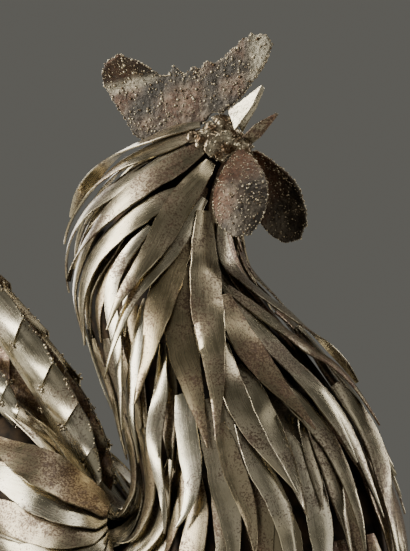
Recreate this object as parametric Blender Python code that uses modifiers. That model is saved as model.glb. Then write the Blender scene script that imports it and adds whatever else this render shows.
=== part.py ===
"""Scrap metal rooster sculpture.

Metres, +Z up.  The bird faces +X and stands on a steel plate; the origin is under the middle of the plate.
The figure's pose is given in thousandths of FIGURE_HEIGHT above the plate.  The plumage is laid on one smooth
body surface, which is read by an angle (0 at the throat, 180 at the nape, positive on the bird's right side)
and a station (0 at the head, LAST_STATION at the rump).
"""
import bmesh
import bpy
import numpy as np
from math import ceil, cos, pi, radians, sin, sqrt
from mathutils import Matrix, Vector

# Driving dimensions
FIGURE_HEIGHT = 1.000
SEAT_GAP = 0.0003
MERGE_DISTANCE = 0.00005
MM = 0.001

PLATE_LENGTH = 0.400
PLATE_WIDTH = 0.300
PLATE_THICKNESS = 0.010
PLATE_EDGE = 0.0015
PLATE_CORNER = 0.012

WING_BAR = 0.036
WIDE_BAR = 0.028
BROAD_BAR = 0.024
MEDIUM_BAR = 0.020
NARROW_BAR = 0.016

# Blades: thickness, gap to what carries them, how far a root bends down, and the spacing of bends
BAR_THICKNESS = 0.002
BLADE_GAP = 0.0005
ROOT_DROP = 0.008
RING_STEP = 0.026
BEND_RADIUS = 0.045
SAMPLES = 26

# Outline of a blade, in shares of its bar and of its length
ROOT_SHARE = 0.45
ROOT_END_SHARE = 0.32
TIP_SHARE = 0.08
TAPER_START_SHARE = 0.42
TAPER_POWER = 1.15
FLARE_POWER = 2.2

# Inner coat: feathers round the body, depth of a step, and the clearance of what stands on it
COAT_FEATHERS = 14
COAT_DEPTH = 0.006
COAT_TIP_DEPTH = 0.0004
COAT_GROWTH = 0.0005
STEP_SHIFT = 0.02
STEP_SHARE = 0.01

# Courses of the inner coat in shares of a station: first, spacing and reach of the tips, on neck and body
BODY_START_SHARE = 8.0
NECK_COURSE_SHARES = (0.9, 0.8, 0.16)
BODY_COURSE_SHARES = (8.1, 1.1, 0.26)
LAST_COURSE_SHARE = 19.2

COMB_THICKNESS = 0.003
BEAK_THICKNESS = 0.002
WATTLE_THICKNESS = 0.0025
WATTLE_LENGTH = 0.110
WATTLE_WIDTH = 0.057
WATTLE_WIDEST_SHARE = 0.55
WATTLE_END_SHARES = (0.05, 0.98)
WATTLE_CUP = 0.010
WATTLE_SPREAD = 0.010
WELD_HEIGHT = 0.013
WELD_LUMP = 0.10
WELD_SHARE = 0.95
JAW_WELD_SIZE = (0.026, 0.034, 0.024)
JAW_WELD_PLACE = (38, 0, 908)

TAIL_THICKNESS = 0.002
TAIL_ARCH = 0.007
TAIL_LANE = 0.0125
TAIL_FAN_SHARE = 0.5

THIGH_RADIUS = 0.030
THIGH_SHARES = (1, 0.8)
SHANK_SHARES = (1.35, 1.3, 1, 1)
TOE_SHARES = (1, 0.95, 0.9, 0.25)
SPUR_SHARES = (0.6, 0.45, 0.15)
TOE_HEADINGS = (-28, 0, 28)
HIND_TOE_HEADING = 168
SHANK_RADIUS = 0.009
TOE_RADIUS = 0.0065
FOOT_OFFSET = PLATE_WIDTH / 4
TOE_LENGTH = 0.085
HIND_TOE_LENGTH = 0.050

COLLECTION = "scrap metal rooster sculpture"
CUTTERS = "cutters"

# Body stations in thousandths of the figure: back line (x, z), breast line (x, z), half width
STATIONS = [
    ((8, 938), (34, 912), 14),
    ((-45, 915), (36, 880), 34),
    ((-98, 878), (36, 840), 56),
    ((-133, 825), (44, 796), 76),
    ((-140, 770), (72, 755), 92),
    ((-122, 710), (112, 708), 104),
    ((-97, 655), (152, 655), 112),
    ((-77, 602), (184, 595), 118),
    ((-70, 578), (206, 525), 122),
    ((-70, 566), (213, 450), 126),
    ((-73, 557), (200, 380), 129),
    ((-78, 552), (162, 322), 131),
    ((-85, 552), (108, 288), 132),
    ((-96, 560), (45, 275), 131),
    ((-112, 580), (-22, 280), 128),
    ((-132, 603), (-84, 302), 121),
    ((-156, 626), (-138, 336), 110),
    ((-184, 645), (-184, 382), 94),
    ((-214, 658), (-222, 438), 72),
    ((-240, 664), (-250, 502), 48),
    ((-258, 662), (-268, 572), 24),
]
LAST_STATION = len(STATIONS) - 1

# Outer blades: name, bar, rise of the tip in mm, then (angle, station) from root to tip
BLADES = [
    ("saddle_blade_right_2", NARROW_BAR, 4, (150, 12.4), (153, 13.4), (152, 15.2), (148, 17.6)),
    ("saddle_blade_right_1", NARROW_BAR, 5, (146, 9.4), (155, 10.9), (158, 13.6), (156, 17.0)),
    ("wing_blade_right_5", WING_BAR, 3, (138, 12.4), (114, 13.2), (92, 14.8), (76, 16.8)),
    ("wing_blade_right_4", WING_BAR, 3, (141, 12.4), (124, 13.5), (104, 15.4), (88, 17.4)),
    ("wing_blade_right_3", WING_BAR, 3, (144, 12.3), (132, 13.6), (116, 15.6), (100, 17.8)),
    ("wing_blade_right_2", WING_BAR, 3, (147, 12.2), (139, 13.6), (128, 15.6), (114, 18.0)),
    ("wing_blade_right_1", WING_BAR, 4, (150, 12.0), (146, 13.6), (138, 15.6), (128, 18.2)),
    ("breast_blade_01", BROAD_BAR, 3, (88, 5.8), (93, 6.6), (98, 7.5), (108, 8.6)),
    ("breast_blade_02", WIDE_BAR, 3, (78, 5.9), (80, 6.6), (83, 7.7), (83, 9.4)),
    ("breast_blade_03", MEDIUM_BAR, 3, (67, 6.3), (66, 7.0), (62, 7.7), (60, 9.2)),
    ("breast_blade_04", BROAD_BAR, 3, (48, 6.5), (46, 7.2), (47, 7.9), (49, 9.4)),
    ("breast_blade_05", MEDIUM_BAR, 4, (5, 5.7), (0, 6.5), (4, 7.4), (9, 8.6)),
    ("breast_blade_06", NARROW_BAR, 4, (22, 5.2), (16, 6.1), (15, 6.9), (14, 7.7)),
    ("breast_blade_07", MEDIUM_BAR, 3, (40, 4.5), (41, 5.7), (33, 6.7), (30, 8.4)),
    ("neck_strip_right", BROAD_BAR, 2, (117, 6.4), (121, 7.6), (128, 9.0), (136, 11.4)),
    ("neck_blade_01", NARROW_BAR, 2, (84, 4.9), (98, 5.9), (109, 6.8), (112, 8.9)),
    ("neck_blade_02", NARROW_BAR, 2, (83, 4.1), (100, 5.1), (114, 5.8), (122, 7.0)),
    ("breast_blade_08", BROAD_BAR, 3, (55, 5.3), (56, 6.1), (54, 7.0), (52, 7.8)),
    ("breast_blade_09", MEDIUM_BAR, 3, (55, 4.9), (63, 5.7), (63, 6.5), (55, 7.4)),
    ("breast_blade_10", BROAD_BAR, 4, (38, 4.0), (31, 5.0), (28, 6.0), (26, 7.0)),
    ("breast_blade_11", NARROW_BAR, 3, (36, 3.8), (18, 4.7), (1, 5.6), (-3, 6.5)),
    ("breast_blade_12", BROAD_BAR, 6, (41, 4.0), (46, 4.8), (45, 5.7), (39, 6.5)),
    ("neck_blade_03", NARROW_BAR, 3, (80, 2.6), (102, 3.9), (109, 5.0), (123, 6.4)),
    ("neck_blade_04", WIDE_BAR, 4, (56, 3.3), (70, 4.4), (79, 5.6), (83, 6.7)),
    ("neck_blade_05", WIDE_BAR, 4, (52, 2.4), (68, 3.7), (88, 4.9), (108, 5.95)),
    ("neck_blade_06", NARROW_BAR, 4, (50, 2.1), (65, 3.2), (92, 4.3), (119, 5.5)),
    ("throat_blade", MEDIUM_BAR, 5, (26, 2.2), (22, 3.4), (4, 4.5), (-10, 5.8)),
    ("neck_blade_07", WIDE_BAR, 7, (46, 2.1), (43, 3.1), (60, 4.8), (78, 6.6)),
    ("hackle_blade_5", BROAD_BAR, 4, (67, 1.7), (92, 2.5), (117, 3.6), (136, 4.95)),
    ("hackle_blade_6", BROAD_BAR, 4, (58, 0.9), (64, 1.9), (74, 3.2), (105, 4.7)),
    ("hackle_blade_3", MEDIUM_BAR, 7, (106, 0.8), (110, 1.7), (146, 2.7), (174, 4.1)),
    ("hackle_blade_4", BROAD_BAR, 5, (80, 0.5), (93, 1.5), (114, 2.7), (136, 3.9)),
    ("hackle_blade_2", BROAD_BAR, 9, (108, 0.45), (128, 1.1), (152, 1.9), (174, 3.3)),
    ("hackle_blade_1", NARROW_BAR, 14, (119, 0.25), (146, 0.9), (166, 1.7), (179, 2.9)),
    ("wing_blade_left_3", WING_BAR, 3, (-138, 12.4), (-114, 13.2), (-92, 14.8), (-76, 16.8)),
    ("wing_blade_left_2", WING_BAR, 3, (-144, 12.3), (-132, 13.6), (-116, 15.6), (-100, 17.8)),
    ("wing_blade_left_1", WING_BAR, 4, (-150, 12.0), (-146, 13.6), (-138, 15.6), (-128, 18.2)),
    ("left_breast_blade_1", WIDE_BAR, 3, (-66, 5.4), (-70, 6.2), (-74, 7.2), (-72, 8.8)),
    ("left_breast_blade_2", BROAD_BAR, 4, (-30, 4.2), (-32, 5.2), (-34, 6.4), (-30, 7.8)),
    ("left_neck_blade_1", BROAD_BAR, 3, (-72, 2.8), (-92, 4.0), (-106, 5.2), (-118, 6.8)),
    ("left_neck_blade_2", WIDE_BAR, 4, (-46, 1.8), (-56, 3.2), (-70, 4.6), (-84, 6.2)),
    ("left_hackle_blade_2", BROAD_BAR, 4, (-72, 0.6), (-90, 1.6), (-112, 2.8), (-132, 4.2)),
    ("left_hackle_blade_1", BROAD_BAR, 9, (-106, 0.45), (-126, 1.1), (-150, 1.9), (-172, 3.3)),
]

RUSTY_BLADES = ("breast_blade_11", "breast_blade_12")

# Comb outline (x, z) in thousandths of the figure, clockwise from the rear lobe's top
COMB_OUTLINE = [
    (-88, 1008), (-68, 996), (-50, 981), (-41, 980), (-34, 991), (-22, 980), (-13, 990), (-6, 985),
    (2, 994), (10, 991), (18, 995), (31, 1005), (41, 1014), (52, 1019), (67, 1018), (74, 1008),
    (62, 985), (51, 970), (35, 953), (18, 942), (9, 943), (2, 935), (-20, 922), (-50, 906), (-62, 917),
    (-72, 918), (-83, 928), (-89, 940), (-98, 952), (-106, 962), (-112, 973), (-113, 984), (-105, 998),
]
COMB_FOLD = ((-104, 968), (-52, 978))
COMB_FOLD_ANGLE = 38
COMB_FOLD_STEPS = 3
COMB_FOLD_STEP = 7

# Tail plates: name, lane from the middle, width in thousandths, then (x, z) in thousandths from root to tip
TAIL_PLATES = [
    ("tail_plate_1", -2, 42, (-106, 560), (-131, 620), (-172, 684), (-232, 758), (-335, 852), (-474, 832)),
    ("tail_plate_2", 0, 44, (-104, 556), (-130, 610), (-172, 670), (-254, 758), (-348, 840), (-462, 820)),
    ("tail_plate_3", -1, 38, (-134, 590), (-164, 640), (-222, 686), (-300, 722), (-380, 712), (-450, 660)),
    ("tail_plate_4", 1, 40, (-128, 584), (-152, 640), (-206, 712), (-280, 784), (-355, 806), (-440, 770)),
    ("tail_plate_5", 2, 42, (-116, 562), (-146, 612), (-194, 676), (-276, 768), (-378, 848), (-490, 806)),
    ("tail_plate_6", 3, 36, (-164, 618), (-198, 660), (-262, 700), (-340, 698), (-400, 668), (-450, 610)),
    ("tail_plate_7", -3, 36, (-190, 632), (-222, 672), (-280, 704), (-345, 690), (-400, 650), (-440, 596)),
]
BROWN_TAIL_PLATES = ("tail_plate_2", "tail_plate_3")

# Wattles: name, top in thousandths, where the tip points and where the bulge faces
WATTLES = [
    ("wattle_right", (43, -10, 908), (0.24, -0.42, -0.88), (0.06, -0.90, 0.42)),
    ("wattle_left", (45, 10, 908), (0.25, 0.36, -0.90), (-0.10, 0.90, 0.42)),
]

# Beak halves: name, folded spine (x, z) and right-hand rim (x, y, z) in thousandths
BEAK_HALVES = [
    ("upper_beak", [(26, 942), (47, 956), (64, 967)], [(37, -10, 923), (54, -5, 946)]),
    ("lower_beak", [(42, 906), (60, 918), (79, 940)], [(42, -9, 915), (58, -6, 930)]),
]
TAIL_STEPS = 8
TAIL_STEP_SHARE = 0.16
TAIL_ROOT_SHARE = 0.45
TAIL_ROOT_END_SHARE = 0.18
TAIL_TAPER_START_SHARE = 0.62
TAIL_TAPER_SHARE = 0.90
TAIL_TAPER_POWER = 1.6
TAIL_CUT_SHARE = 0.004
TAIL_END_SHARE = 0.996


def share(value):
    """A size given in thousandths of the figure, in metres."""
    return value * FIGURE_HEIGHT / 1000


def figure_point(x, y, z):
    """A point given in thousandths of the figure above the plate, in metres."""
    return Vector((share(x), share(y), share(z) + PLATE_THICKNESS))


def smooth_through(values, position):
    """Catmull-Rom curve through evenly spaced values, read at positions from 0 to 1."""
    values = np.asarray(values, float)
    count = len(values) - 1
    place = np.clip(np.asarray(position, float), 0, 1) * count
    index = np.minimum(place.astype(int), count - 1)
    f = (place - index)[..., None]
    ends = np.vstack([2 * values[0] - values[1], values, 2 * values[-1] - values[-2]])
    a, b, c, d = ends[index], ends[index + 1], ends[index + 2], ends[index + 3]
    square = 2 * a - 5 * b + 4 * c - d
    cube = 3 * b - a - 3 * c + d
    return 0.5 * (2 * b + (c - a) * f + square * f ** 2 + cube * f ** 3)


BACK_LINE = [station[0] for station in STATIONS]
BREAST_LINE = [station[1] for station in STATIONS]
HALF_WIDTHS = [(station[2],) for station in STATIONS]


def body_point(angle, station):
    """Points of the body surface; angle in degrees."""
    turn = np.radians(np.asarray(angle, float))
    place = np.asarray(station, float) / LAST_STATION
    back = share(smooth_through(BACK_LINE, place))
    breast = share(smooth_through(BREAST_LINE, place))
    half = share(smooth_through(HALF_WIDTHS, place)[..., 0])
    sagittal = (back + breast) / 2 + (breast - back) / 2 * np.cos(turn)[..., None]
    return np.stack([sagittal[..., 0], -np.sin(turn) * half, sagittal[..., 1] + PLATE_THICKNESS], -1)


def body_axes(angle, station):
    """How the surface moves per degree and per station, and its outward direction."""
    step_angle, step_station = 0.5, 0.02
    low = np.clip(station - step_station, 0, LAST_STATION)
    high = np.clip(station + step_station, 0, LAST_STATION)
    across = body_point(angle + step_angle, station) - body_point(angle - step_angle, station)
    across = across / (2 * step_angle)
    along = (body_point(angle, high) - body_point(angle, low)) / (high - low)[..., None]
    out = np.cross(across, along)
    out /= np.linalg.norm(out, axis=-1)[..., None]
    return across, along, out


def raised_point(angle, station, rise):
    """Points straight above the body surface."""
    out = body_axes(angle, station)[2]
    return body_point(angle, station) + out * np.asarray(rise)[..., None]


def nearest_place(points, place):
    """One step towards the surface points nearest to given points, and the height over the surface there."""
    across, along, out = body_axes(place[..., 0], place[..., 1])
    miss = points - body_point(place[..., 0], place[..., 1])
    height = (miss * out).sum(-1)
    aa, bb, ab = (across ** 2).sum(-1), (along ** 2).sum(-1), (across * along).sum(-1)
    ma, mb = (miss * across).sum(-1), (miss * along).sum(-1)
    determinant = aa * bb - ab ** 2
    moved = place + np.stack([ma * bb - mb * ab, mb * aa - ma * ab], -1) / determinant[..., None]
    moved[..., 1] = np.clip(moved[..., 1], 0, LAST_STATION)
    return moved, height


class Pile:
    """Height of what already lies on the body surface, kept on a grid of angle and station."""
    ANGLE_CELL = 1.0
    STATION_CELL = 0.05

    def __init__(self, start):
        self.columns = int(360 / self.ANGLE_CELL)
        self.rows = int(LAST_STATION / self.STATION_CELL) + 1
        self.height = np.full((self.columns, self.rows), start)

    def cells(self, place):
        column = np.floor(np.mod(place[..., 0], 360) / self.ANGLE_CELL).astype(int) % self.columns
        row = np.clip(np.rint(place[..., 1] / self.STATION_CELL).astype(int), 0, self.rows - 1)
        return column, row

    def read(self, place):
        return self.height[self.cells(place)]

    def add(self, facets, top):
        column, row = self.cells(facets.place)
        for side in (-1, 0, 1):
            for end in (-1, 0, 1):
                where = ((column + side) % self.columns, np.clip(row + end, 0, self.rows - 1))
                np.maximum.at(self.height, where, top)


def blade_width(position, bar):
    """Half the width along a blade: narrowed root, full bar, long pointed tip."""
    root = ROOT_SHARE + (1 - ROOT_SHARE) * np.clip(position / ROOT_END_SHARE, 0, 1)
    fall = np.clip((position - TAPER_START_SHARE) / (1 - TAPER_START_SHARE), 0, 1)
    tip = 1 - (1 - TIP_SHARE) * fall ** TAPER_POWER
    return bar / 2 * root * tip


def blade_rings(route, bar):
    """Share of the length, angle and station of a blade's two edges at rings, closer where it bends hard."""
    fine = smooth_through(route, np.linspace(0, 1, 80))
    points = body_point(fine[:, 0], fine[:, 1])
    lengths = np.linalg.norm(np.diff(points, axis=0), axis=1)
    turns = np.linalg.norm(np.diff(body_axes(fine[:, 0], fine[:, 1])[2], axis=0), axis=1)
    extra = BEND_RADIUS * np.maximum(0, turns - lengths / BEND_RADIUS)
    travel = np.concatenate([[0], np.cumsum(lengths)])
    effort = np.concatenate([[0], np.cumsum(lengths + extra)])
    count = max(5, ceil(effort[-1] / RING_STEP))
    stops = np.linspace(0, effort[-1], count + 1)
    position = np.interp(stops, effort, travel) / travel[-1]
    middle = np.stack([np.interp(stops, effort, fine[:, k]) for k in (0, 1)], -1)
    across, along, out = body_axes(middle[:, 0], middle[:, 1])
    heading = np.gradient(body_point(middle[:, 0], middle[:, 1]), axis=0)
    heading /= np.linalg.norm(heading, axis=1)[:, None]
    lateral = np.cross(out, heading) * blade_width(position, bar)[:, None]
    edges = []
    for sign in (-1, 1):
        shift = []
        for k in range(count + 1):
            basis = np.stack([across[k], along[k]], 1)
            shift.append(np.linalg.lstsq(basis, sign * lateral[k], rcond=None)[0])
        edges.append(middle + np.array(shift))
    edges = np.stack(edges, 1)
    edges[..., 1] = np.clip(edges[..., 1], 0.02, LAST_STATION - 0.02)
    return position, edges


def facet_weights(count):
    """Corner shares of points spread over a facet that is split along one diagonal."""
    down, over = np.meshgrid(np.linspace(0, 1, count), np.linspace(0, 1, count), indexing="ij")
    left = np.stack([1 - down, 0 * down, down - over, over], -1)
    right = np.stack([1 - over, over - down, 0 * down, down], -1)
    return np.where((over <= down)[..., None], left, right).reshape(-1, 4)


def facets_of(rows):
    """The four corners of every facet between rows of two points."""
    return np.concatenate([rows[:-1], rows[1:]], axis=1)


class Facets:
    """Sample points over all facets of a strip, kept with their places on the body surface."""

    def __init__(self, edges, weights):
        self.edges = edges
        self.weights = weights
        self.place = weights @ facets_of(edges)

    def heights_over_body(self, heights, steps=1):
        raised = raised_point(self.edges[..., 0], self.edges[..., 1], heights)
        points = self.weights @ facets_of(raised)
        for step in range(steps):
            self.place, height = nearest_place(points, self.place)
        return height


def lay_blade(pile, route, bar, flare):
    """Rests a blade on the pile.

    Returns its edges, how high each edge lies at each ring, and how low the root can reach down.
    """
    position, edges = blade_rings(route, bar)
    weights = facet_weights(SAMPLES)
    facets = Facets(edges, weights)
    heights = np.zeros(edges.shape[:2])
    facets.heights_over_body(heights, 3)
    near_side = weights[:, 0] + weights[:, 2] > 0.4
    far_side = weights[:, 1] + weights[:, 3] > 0.4
    for step in range(5):
        height = facets.heights_over_body(heights)
        short = np.maximum(pile.read(facets.place), 0) + BLADE_GAP - height
        for side, part in ((0, short[:, near_side]), (1, short[:, far_side])):
            lift = np.maximum(part.max(axis=1), 0) if step else part.max(axis=1)
            rise = np.maximum(np.append(lift, lift[-1]), np.insert(lift, 0, lift[0]))
            heights[:, side] += rise
        if step == 1:
            padded = np.vstack([heights[:1], heights, heights[-1:]])
            heights[1:] = np.maximum(heights, (padded[:-2] + padded[1:-1] + padded[2:]) / 3)[1:]
            heights += (flare * MM * position ** FLARE_POWER)[:, None]
    height = facets.heights_over_body(heights)
    carried = pile.read(facets.place[0]) + BLADE_GAP
    root_share = weights[:, 0] + weights[:, 1]
    held = root_share > 0.04
    spare = ((height[0] - carried) / np.maximum(root_share, 0.04))[held].min()
    top = Facets(edges, weights)
    top.place = facets.place
    pile.add(top, top.heights_over_body(heights + BAR_THICKNESS, 2))
    return edges, heights, heights[0] - max(0.0, min(spare, ROOT_DROP))


def steel(name, colour, roughness, metallic=1.0):
    """A Principled material in one colour."""
    material = bpy.data.materials.new(name)
    material.use_nodes = True
    shader = material.node_tree.nodes["Principled BSDF"]
    shader.inputs["Base Color"].default_value = (*colour, 1)
    shader.inputs["Roughness"].default_value = roughness
    shader.inputs["Metallic"].default_value = metallic
    material.diffuse_color = (*colour, 1)
    return material


def place_mesh(name, mesh, material, collection=COLLECTION, crease=30):
    """Puts a mesh in the scene as the named piece."""
    piece = bpy.data.objects.new(name, mesh)
    bpy.data.collections[collection].objects.link(piece)
    mesh.materials.clear()
    if material:
        mesh.materials.append(material)
    mesh.shade_smooth()
    mesh.set_sharp_from_angle(angle=radians(crease))
    return piece


def mesh_from_rings(name, rings):
    """A closed loft through rings that have the same number of points."""
    bm = bmesh.new()
    rows = [[bm.verts.new(point) for point in ring] for ring in rings]
    sides = len(rows[0])
    for here, there in zip(rows, rows[1:]):
        for k in range(sides):
            bm.faces.new((here[k], here[(k + 1) % sides], there[(k + 1) % sides], there[k]))
    bm.faces.new(rows[0])
    bm.faces.new(rows[-1])
    bmesh.ops.recalc_face_normals(bm, faces=bm.faces)
    bmesh.ops.triangulate(bm, faces=bm.faces, quad_method="FIXED")
    mesh = bpy.data.meshes.new(name)
    bm.to_mesh(mesh)
    bm.free()
    return mesh


def blade_mesh(name, edges, heights, foot):
    """A flat bar bent along its rings, with the root's underside brought down to what carries it."""
    bm = bmesh.new()
    rows = []
    for k, (edge, height) in enumerate(zip(edges, heights)):
        under = raised_point(edge[:, 0], edge[:, 1], foot if k == 0 else height)
        over = raised_point(edge[:, 0], edge[:, 1], height + BAR_THICKNESS)
        rows.append([bm.verts.new(point) for point in (under[0], under[1], over[1], over[0])])
    for here, there in zip(rows, rows[1:]):
        bm.faces.new((here[0], here[1], there[1]))
        bm.faces.new((here[0], there[1], there[0]))
        bm.faces.new((here[2], here[3], there[2]))
        bm.faces.new((here[3], there[3], there[2]))
        bm.faces.new((here[1], here[2], there[2], there[1]))
        bm.faces.new((here[3], here[0], there[0], there[3]))
    bm.faces.new(rows[0])
    bm.faces.new(rows[-1])
    bmesh.ops.recalc_face_normals(bm, faces=bm.faces)
    mesh = bpy.data.meshes.new(name)
    bm.to_mesh(mesh)
    bm.free()
    return mesh


def tube_mesh(name, points, radii):
    """A round bar along points, as a closed mesh."""
    curve = bpy.data.curves.new(name + " path", "CURVE")
    curve.dimensions = "3D"
    curve.fill_mode = "FULL"
    curve.bevel_depth = 1.0
    curve.bevel_resolution = 2
    curve.use_fill_caps = True
    spline = curve.splines.new("POLY")
    spline.points.add(len(points) - 1)
    for knot, point, radius in zip(spline.points, points, radii):
        knot.co = (*point, 1)
        knot.radius = radius
    path = bpy.data.objects.new(name + " path", curve)
    bpy.context.scene.collection.objects.link(path)
    evaluated = path.evaluated_get(bpy.context.evaluated_depsgraph_get())
    mesh = bpy.data.meshes.new_from_object(evaluated)
    bpy.data.objects.remove(path)
    bm = bmesh.new()
    bm.from_mesh(mesh)
    bmesh.ops.remove_doubles(bm, verts=bm.verts, dist=MERGE_DISTANCE)
    bmesh.ops.recalc_face_normals(bm, faces=bm.faces)
    bm.to_mesh(mesh)
    bm.free()
    return mesh


def add_boolean(piece, other, operation):
    """A Boolean modifier that joins or cuts a piece."""
    modifier = piece.modifiers.new(operation.lower() + " " + other.name, "BOOLEAN")
    modifier.operation = operation
    modifier.object = other
    modifier.solver = "EXACT"


def make_cutter(name, mesh):
    """A helper solid that is used by a Boolean and isn't part of the object."""
    cutter = place_mesh(name, mesh, None, CUTTERS)
    cutter.hide_render = True
    cutter.display_type = "WIRE"
    return cutter


def build_base_plate():
    """The low base: a cut steel plate with eased edges."""
    bpy.ops.mesh.primitive_cube_add(size=1, location=(0, 0, 0))
    plate = bpy.context.object
    plate.name = "base_plate"
    plate.data.transform(Matrix.Translation((0, 0, 0.5)))
    plate.data.transform(Matrix.Diagonal((PLATE_LENGTH, PLATE_WIDTH, PLATE_THICKNESS, 1)))
    bm = bmesh.new()
    bm.from_mesh(plate.data)
    upright = [edge for edge in bm.edges
               if abs(edge.verts[0].co.z - edge.verts[1].co.z) > PLATE_THICKNESS / 2]
    bmesh.ops.bevel(bm, geom=upright, offset=PLATE_CORNER, segments=3, profile=0.5, affect="EDGES")
    bm.to_mesh(plate.data)
    bm.free()
    for owner in list(plate.users_collection):
        owner.objects.unlink(plate)
    bpy.data.collections[COLLECTION].objects.link(plate)
    plate.data.materials.append(steel("raw steel plate", (0.20, 0.17, 0.14), 0.6))
    edge = plate.modifiers.new("eased edge", "BEVEL")
    edge.width = PLATE_EDGE
    edge.segments = 1
    edge.limit_method = "ANGLE"
    edge.angle_limit = radians(60)
    return plate


def coat_places(shift=0.0):
    """Angles, stations and depths of the inner coat's rings.

    Each course of feathers rises to a zigzag row of tips, then steps down; shift moves the steps rearwards.
    """
    courses = []
    parts = ((NECK_COURSE_SHARES, BODY_START_SHARE), (BODY_COURSE_SHARES, LAST_COURSE_SHARE))
    for (first, spacing, reach), last in parts:
        courses += [(stop, reach) for stop in np.arange(first, last, spacing)]
    points = 2 * COAT_FEATHERS
    angles = np.arange(points) * 360 / points
    deep = np.full(points, COAT_DEPTH)
    places = [(angles, np.full(points, 0.0), deep / 3)]
    for number, (stop, reach) in enumerate(courses):
        centre = (np.arange(points) + number) % 2 == 0
        line = np.where(centre, stop + reach, stop - reach) + shift
        places.append((angles, line, np.where(centre, COAT_TIP_DEPTH, COAT_DEPTH / 2)))
        places.append((angles, line + STEP_SHARE, deep))
    places.append((angles, np.full(points, float(LAST_STATION)), deep / 3))
    return places


def coat_mesh(name, grown=0.0, shift=0.0):
    """The inner coat as a closed mesh, or the same grown a little."""
    return mesh_from_rings(name, [raised_point(angles, line, grown - depth)
                                  for angles, line, depth in coat_places(shift)])


def start_pile():
    """The pile with only the inner coat on it."""
    pile = Pile(-COAT_DEPTH)
    weights = facet_weights(SAMPLES)
    places = coat_places()
    for k in range(2 * COAT_FEATHERS):
        pairs = []
        for angles, line, depth in places:
            low = angles[k]
            high = low + 360 / len(angles)
            pairs.append(((low, line[k]), (high, line[(k + 1) % len(angles)])))
        heights = np.array([(-depth[k], -depth[(k + 1) % len(depth)]) for angles, line, depth in places])
        facets = Facets(np.array(pairs), weights)
        pile.add(facets, facets.heights_over_body(heights, 2))
    return pile


def build_inner_coat():
    """The inner courses of feathers, welded into one shell from the head to the rump."""
    mesh = coat_mesh("inner_feathers")
    return place_mesh("inner_feathers", mesh, steel("dark inner steel", (0.10, 0.085, 0.07), 0.6), crease=20)


def build_blades():
    """The outer blades, each laid on the coat and on the blades put on before it."""
    pile = start_pile()
    material = steel("bare steel bar", (0.46, 0.43, 0.37), 0.35)
    rusty = steel("rusty steel bar", (0.34, 0.23, 0.16), 0.5)
    for name, bar, flare, *route in BLADES:
        edges, heights, foot = lay_blade(pile, route, bar, flare)
        finish = rusty if name in RUSTY_BLADES else material
        place_mesh(name, blade_mesh(name, edges, heights, foot), finish)


def build_comb(cutters):
    """The rough cut comb plate, with the top of its rear lobe folded to the right."""
    curve = bpy.data.curves.new("comb outline", "CURVE")
    curve.dimensions = "2D"
    curve.fill_mode = "BOTH"
    curve.extrude = COMB_THICKNESS / 2
    spline = curve.splines.new("POLY")
    spline.points.add(len(COMB_OUTLINE) - 1)
    for knot, (x, z) in zip(spline.points, COMB_OUTLINE):
        knot.co = (share(x), share(z), 0, 1)
    spline.use_cyclic_u = True
    flat = bpy.data.objects.new("comb outline", curve)
    bpy.context.scene.collection.objects.link(flat)
    evaluated = flat.evaluated_get(bpy.context.evaluated_depsgraph_get())
    mesh = bpy.data.meshes.new_from_object(evaluated)
    bpy.data.objects.remove(flat)
    mesh.transform(Matrix.Rotation(pi / 2, 4, "X"))
    mesh.transform(Matrix.Translation((0, 0, PLATE_THICKNESS)))
    bm = bmesh.new()
    bm.from_mesh(mesh)
    bmesh.ops.remove_doubles(bm, verts=bm.verts, dist=MERGE_DISTANCE)
    start, end = (figure_point(x, 0, z) for x, z in COMB_FOLD)
    line = (end - start).normalized()
    up = Vector((-line.z, 0, line.x))
    for step in range(COMB_FOLD_STEPS):
        level = start + up * share(COMB_FOLD_STEP) * step
        geometry = bm.verts[:] + bm.edges[:] + bm.faces[:]
        bmesh.ops.bisect_plane(bm, geom=geometry, plane_co=level, plane_no=up, dist=0.00001)
        beyond = [v for v in bm.verts if (v.co - level).dot(up) > 0.00002 and v.co.x < end.x + share(2)]
        turn = Matrix.Rotation(radians(COMB_FOLD_ANGLE / COMB_FOLD_STEPS), 3, line)
        bmesh.ops.rotate(bm, verts=beyond, cent=level, matrix=turn)
        up = turn @ up
    bmesh.ops.recalc_face_normals(bm, faces=bm.faces)
    bm.to_mesh(mesh)
    bm.free()
    comb = place_mesh("comb", mesh, steel("weld spattered plate", (0.22, 0.18, 0.15), 0.55))
    for cutter in cutters:
        add_boolean(comb, cutter, "DIFFERENCE")


def folded_sheet(name, spine, edge, thickness, material):
    """A sheet folded in a V along its spine, closed to a point at the tip; edge is its right-hand rim."""
    bm = bmesh.new()
    ridge = [bm.verts.new(figure_point(x, 0, z)) for x, z in spine]
    wings = []
    for sign in (1, -1):
        wings.append([bm.verts.new(figure_point(x, sign * y, z)) for x, y, z in edge])
    for wing in wings:
        for k in range(len(edge) - 1):
            bm.faces.new((ridge[k], ridge[k + 1], wing[k + 1], wing[k]))
        bm.faces.new((ridge[-2], ridge[-1], wing[-1]))
    bmesh.ops.recalc_face_normals(bm, faces=bm.faces)
    mesh = bpy.data.meshes.new(name)
    bm.to_mesh(mesh)
    bm.free()
    piece = place_mesh(name, mesh, material)
    shell = piece.modifiers.new("sheet", "SOLIDIFY")
    shell.thickness = thickness
    shell.offset = 0
    shell.use_even_offset = True
    return piece


def build_beak(cutters):
    """Both halves of the open beak, each a pointed sheet folded in a V."""
    material = steel("bright beak steel", (0.55, 0.53, 0.50), 0.35)
    for name, spine, edge in BEAK_HALVES:
        half = folded_sheet(name, spine, edge, BEAK_THICKNESS, material)
        if name == "lower_beak":
            add_boolean(half, cutters[1], "DIFFERENCE")


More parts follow.
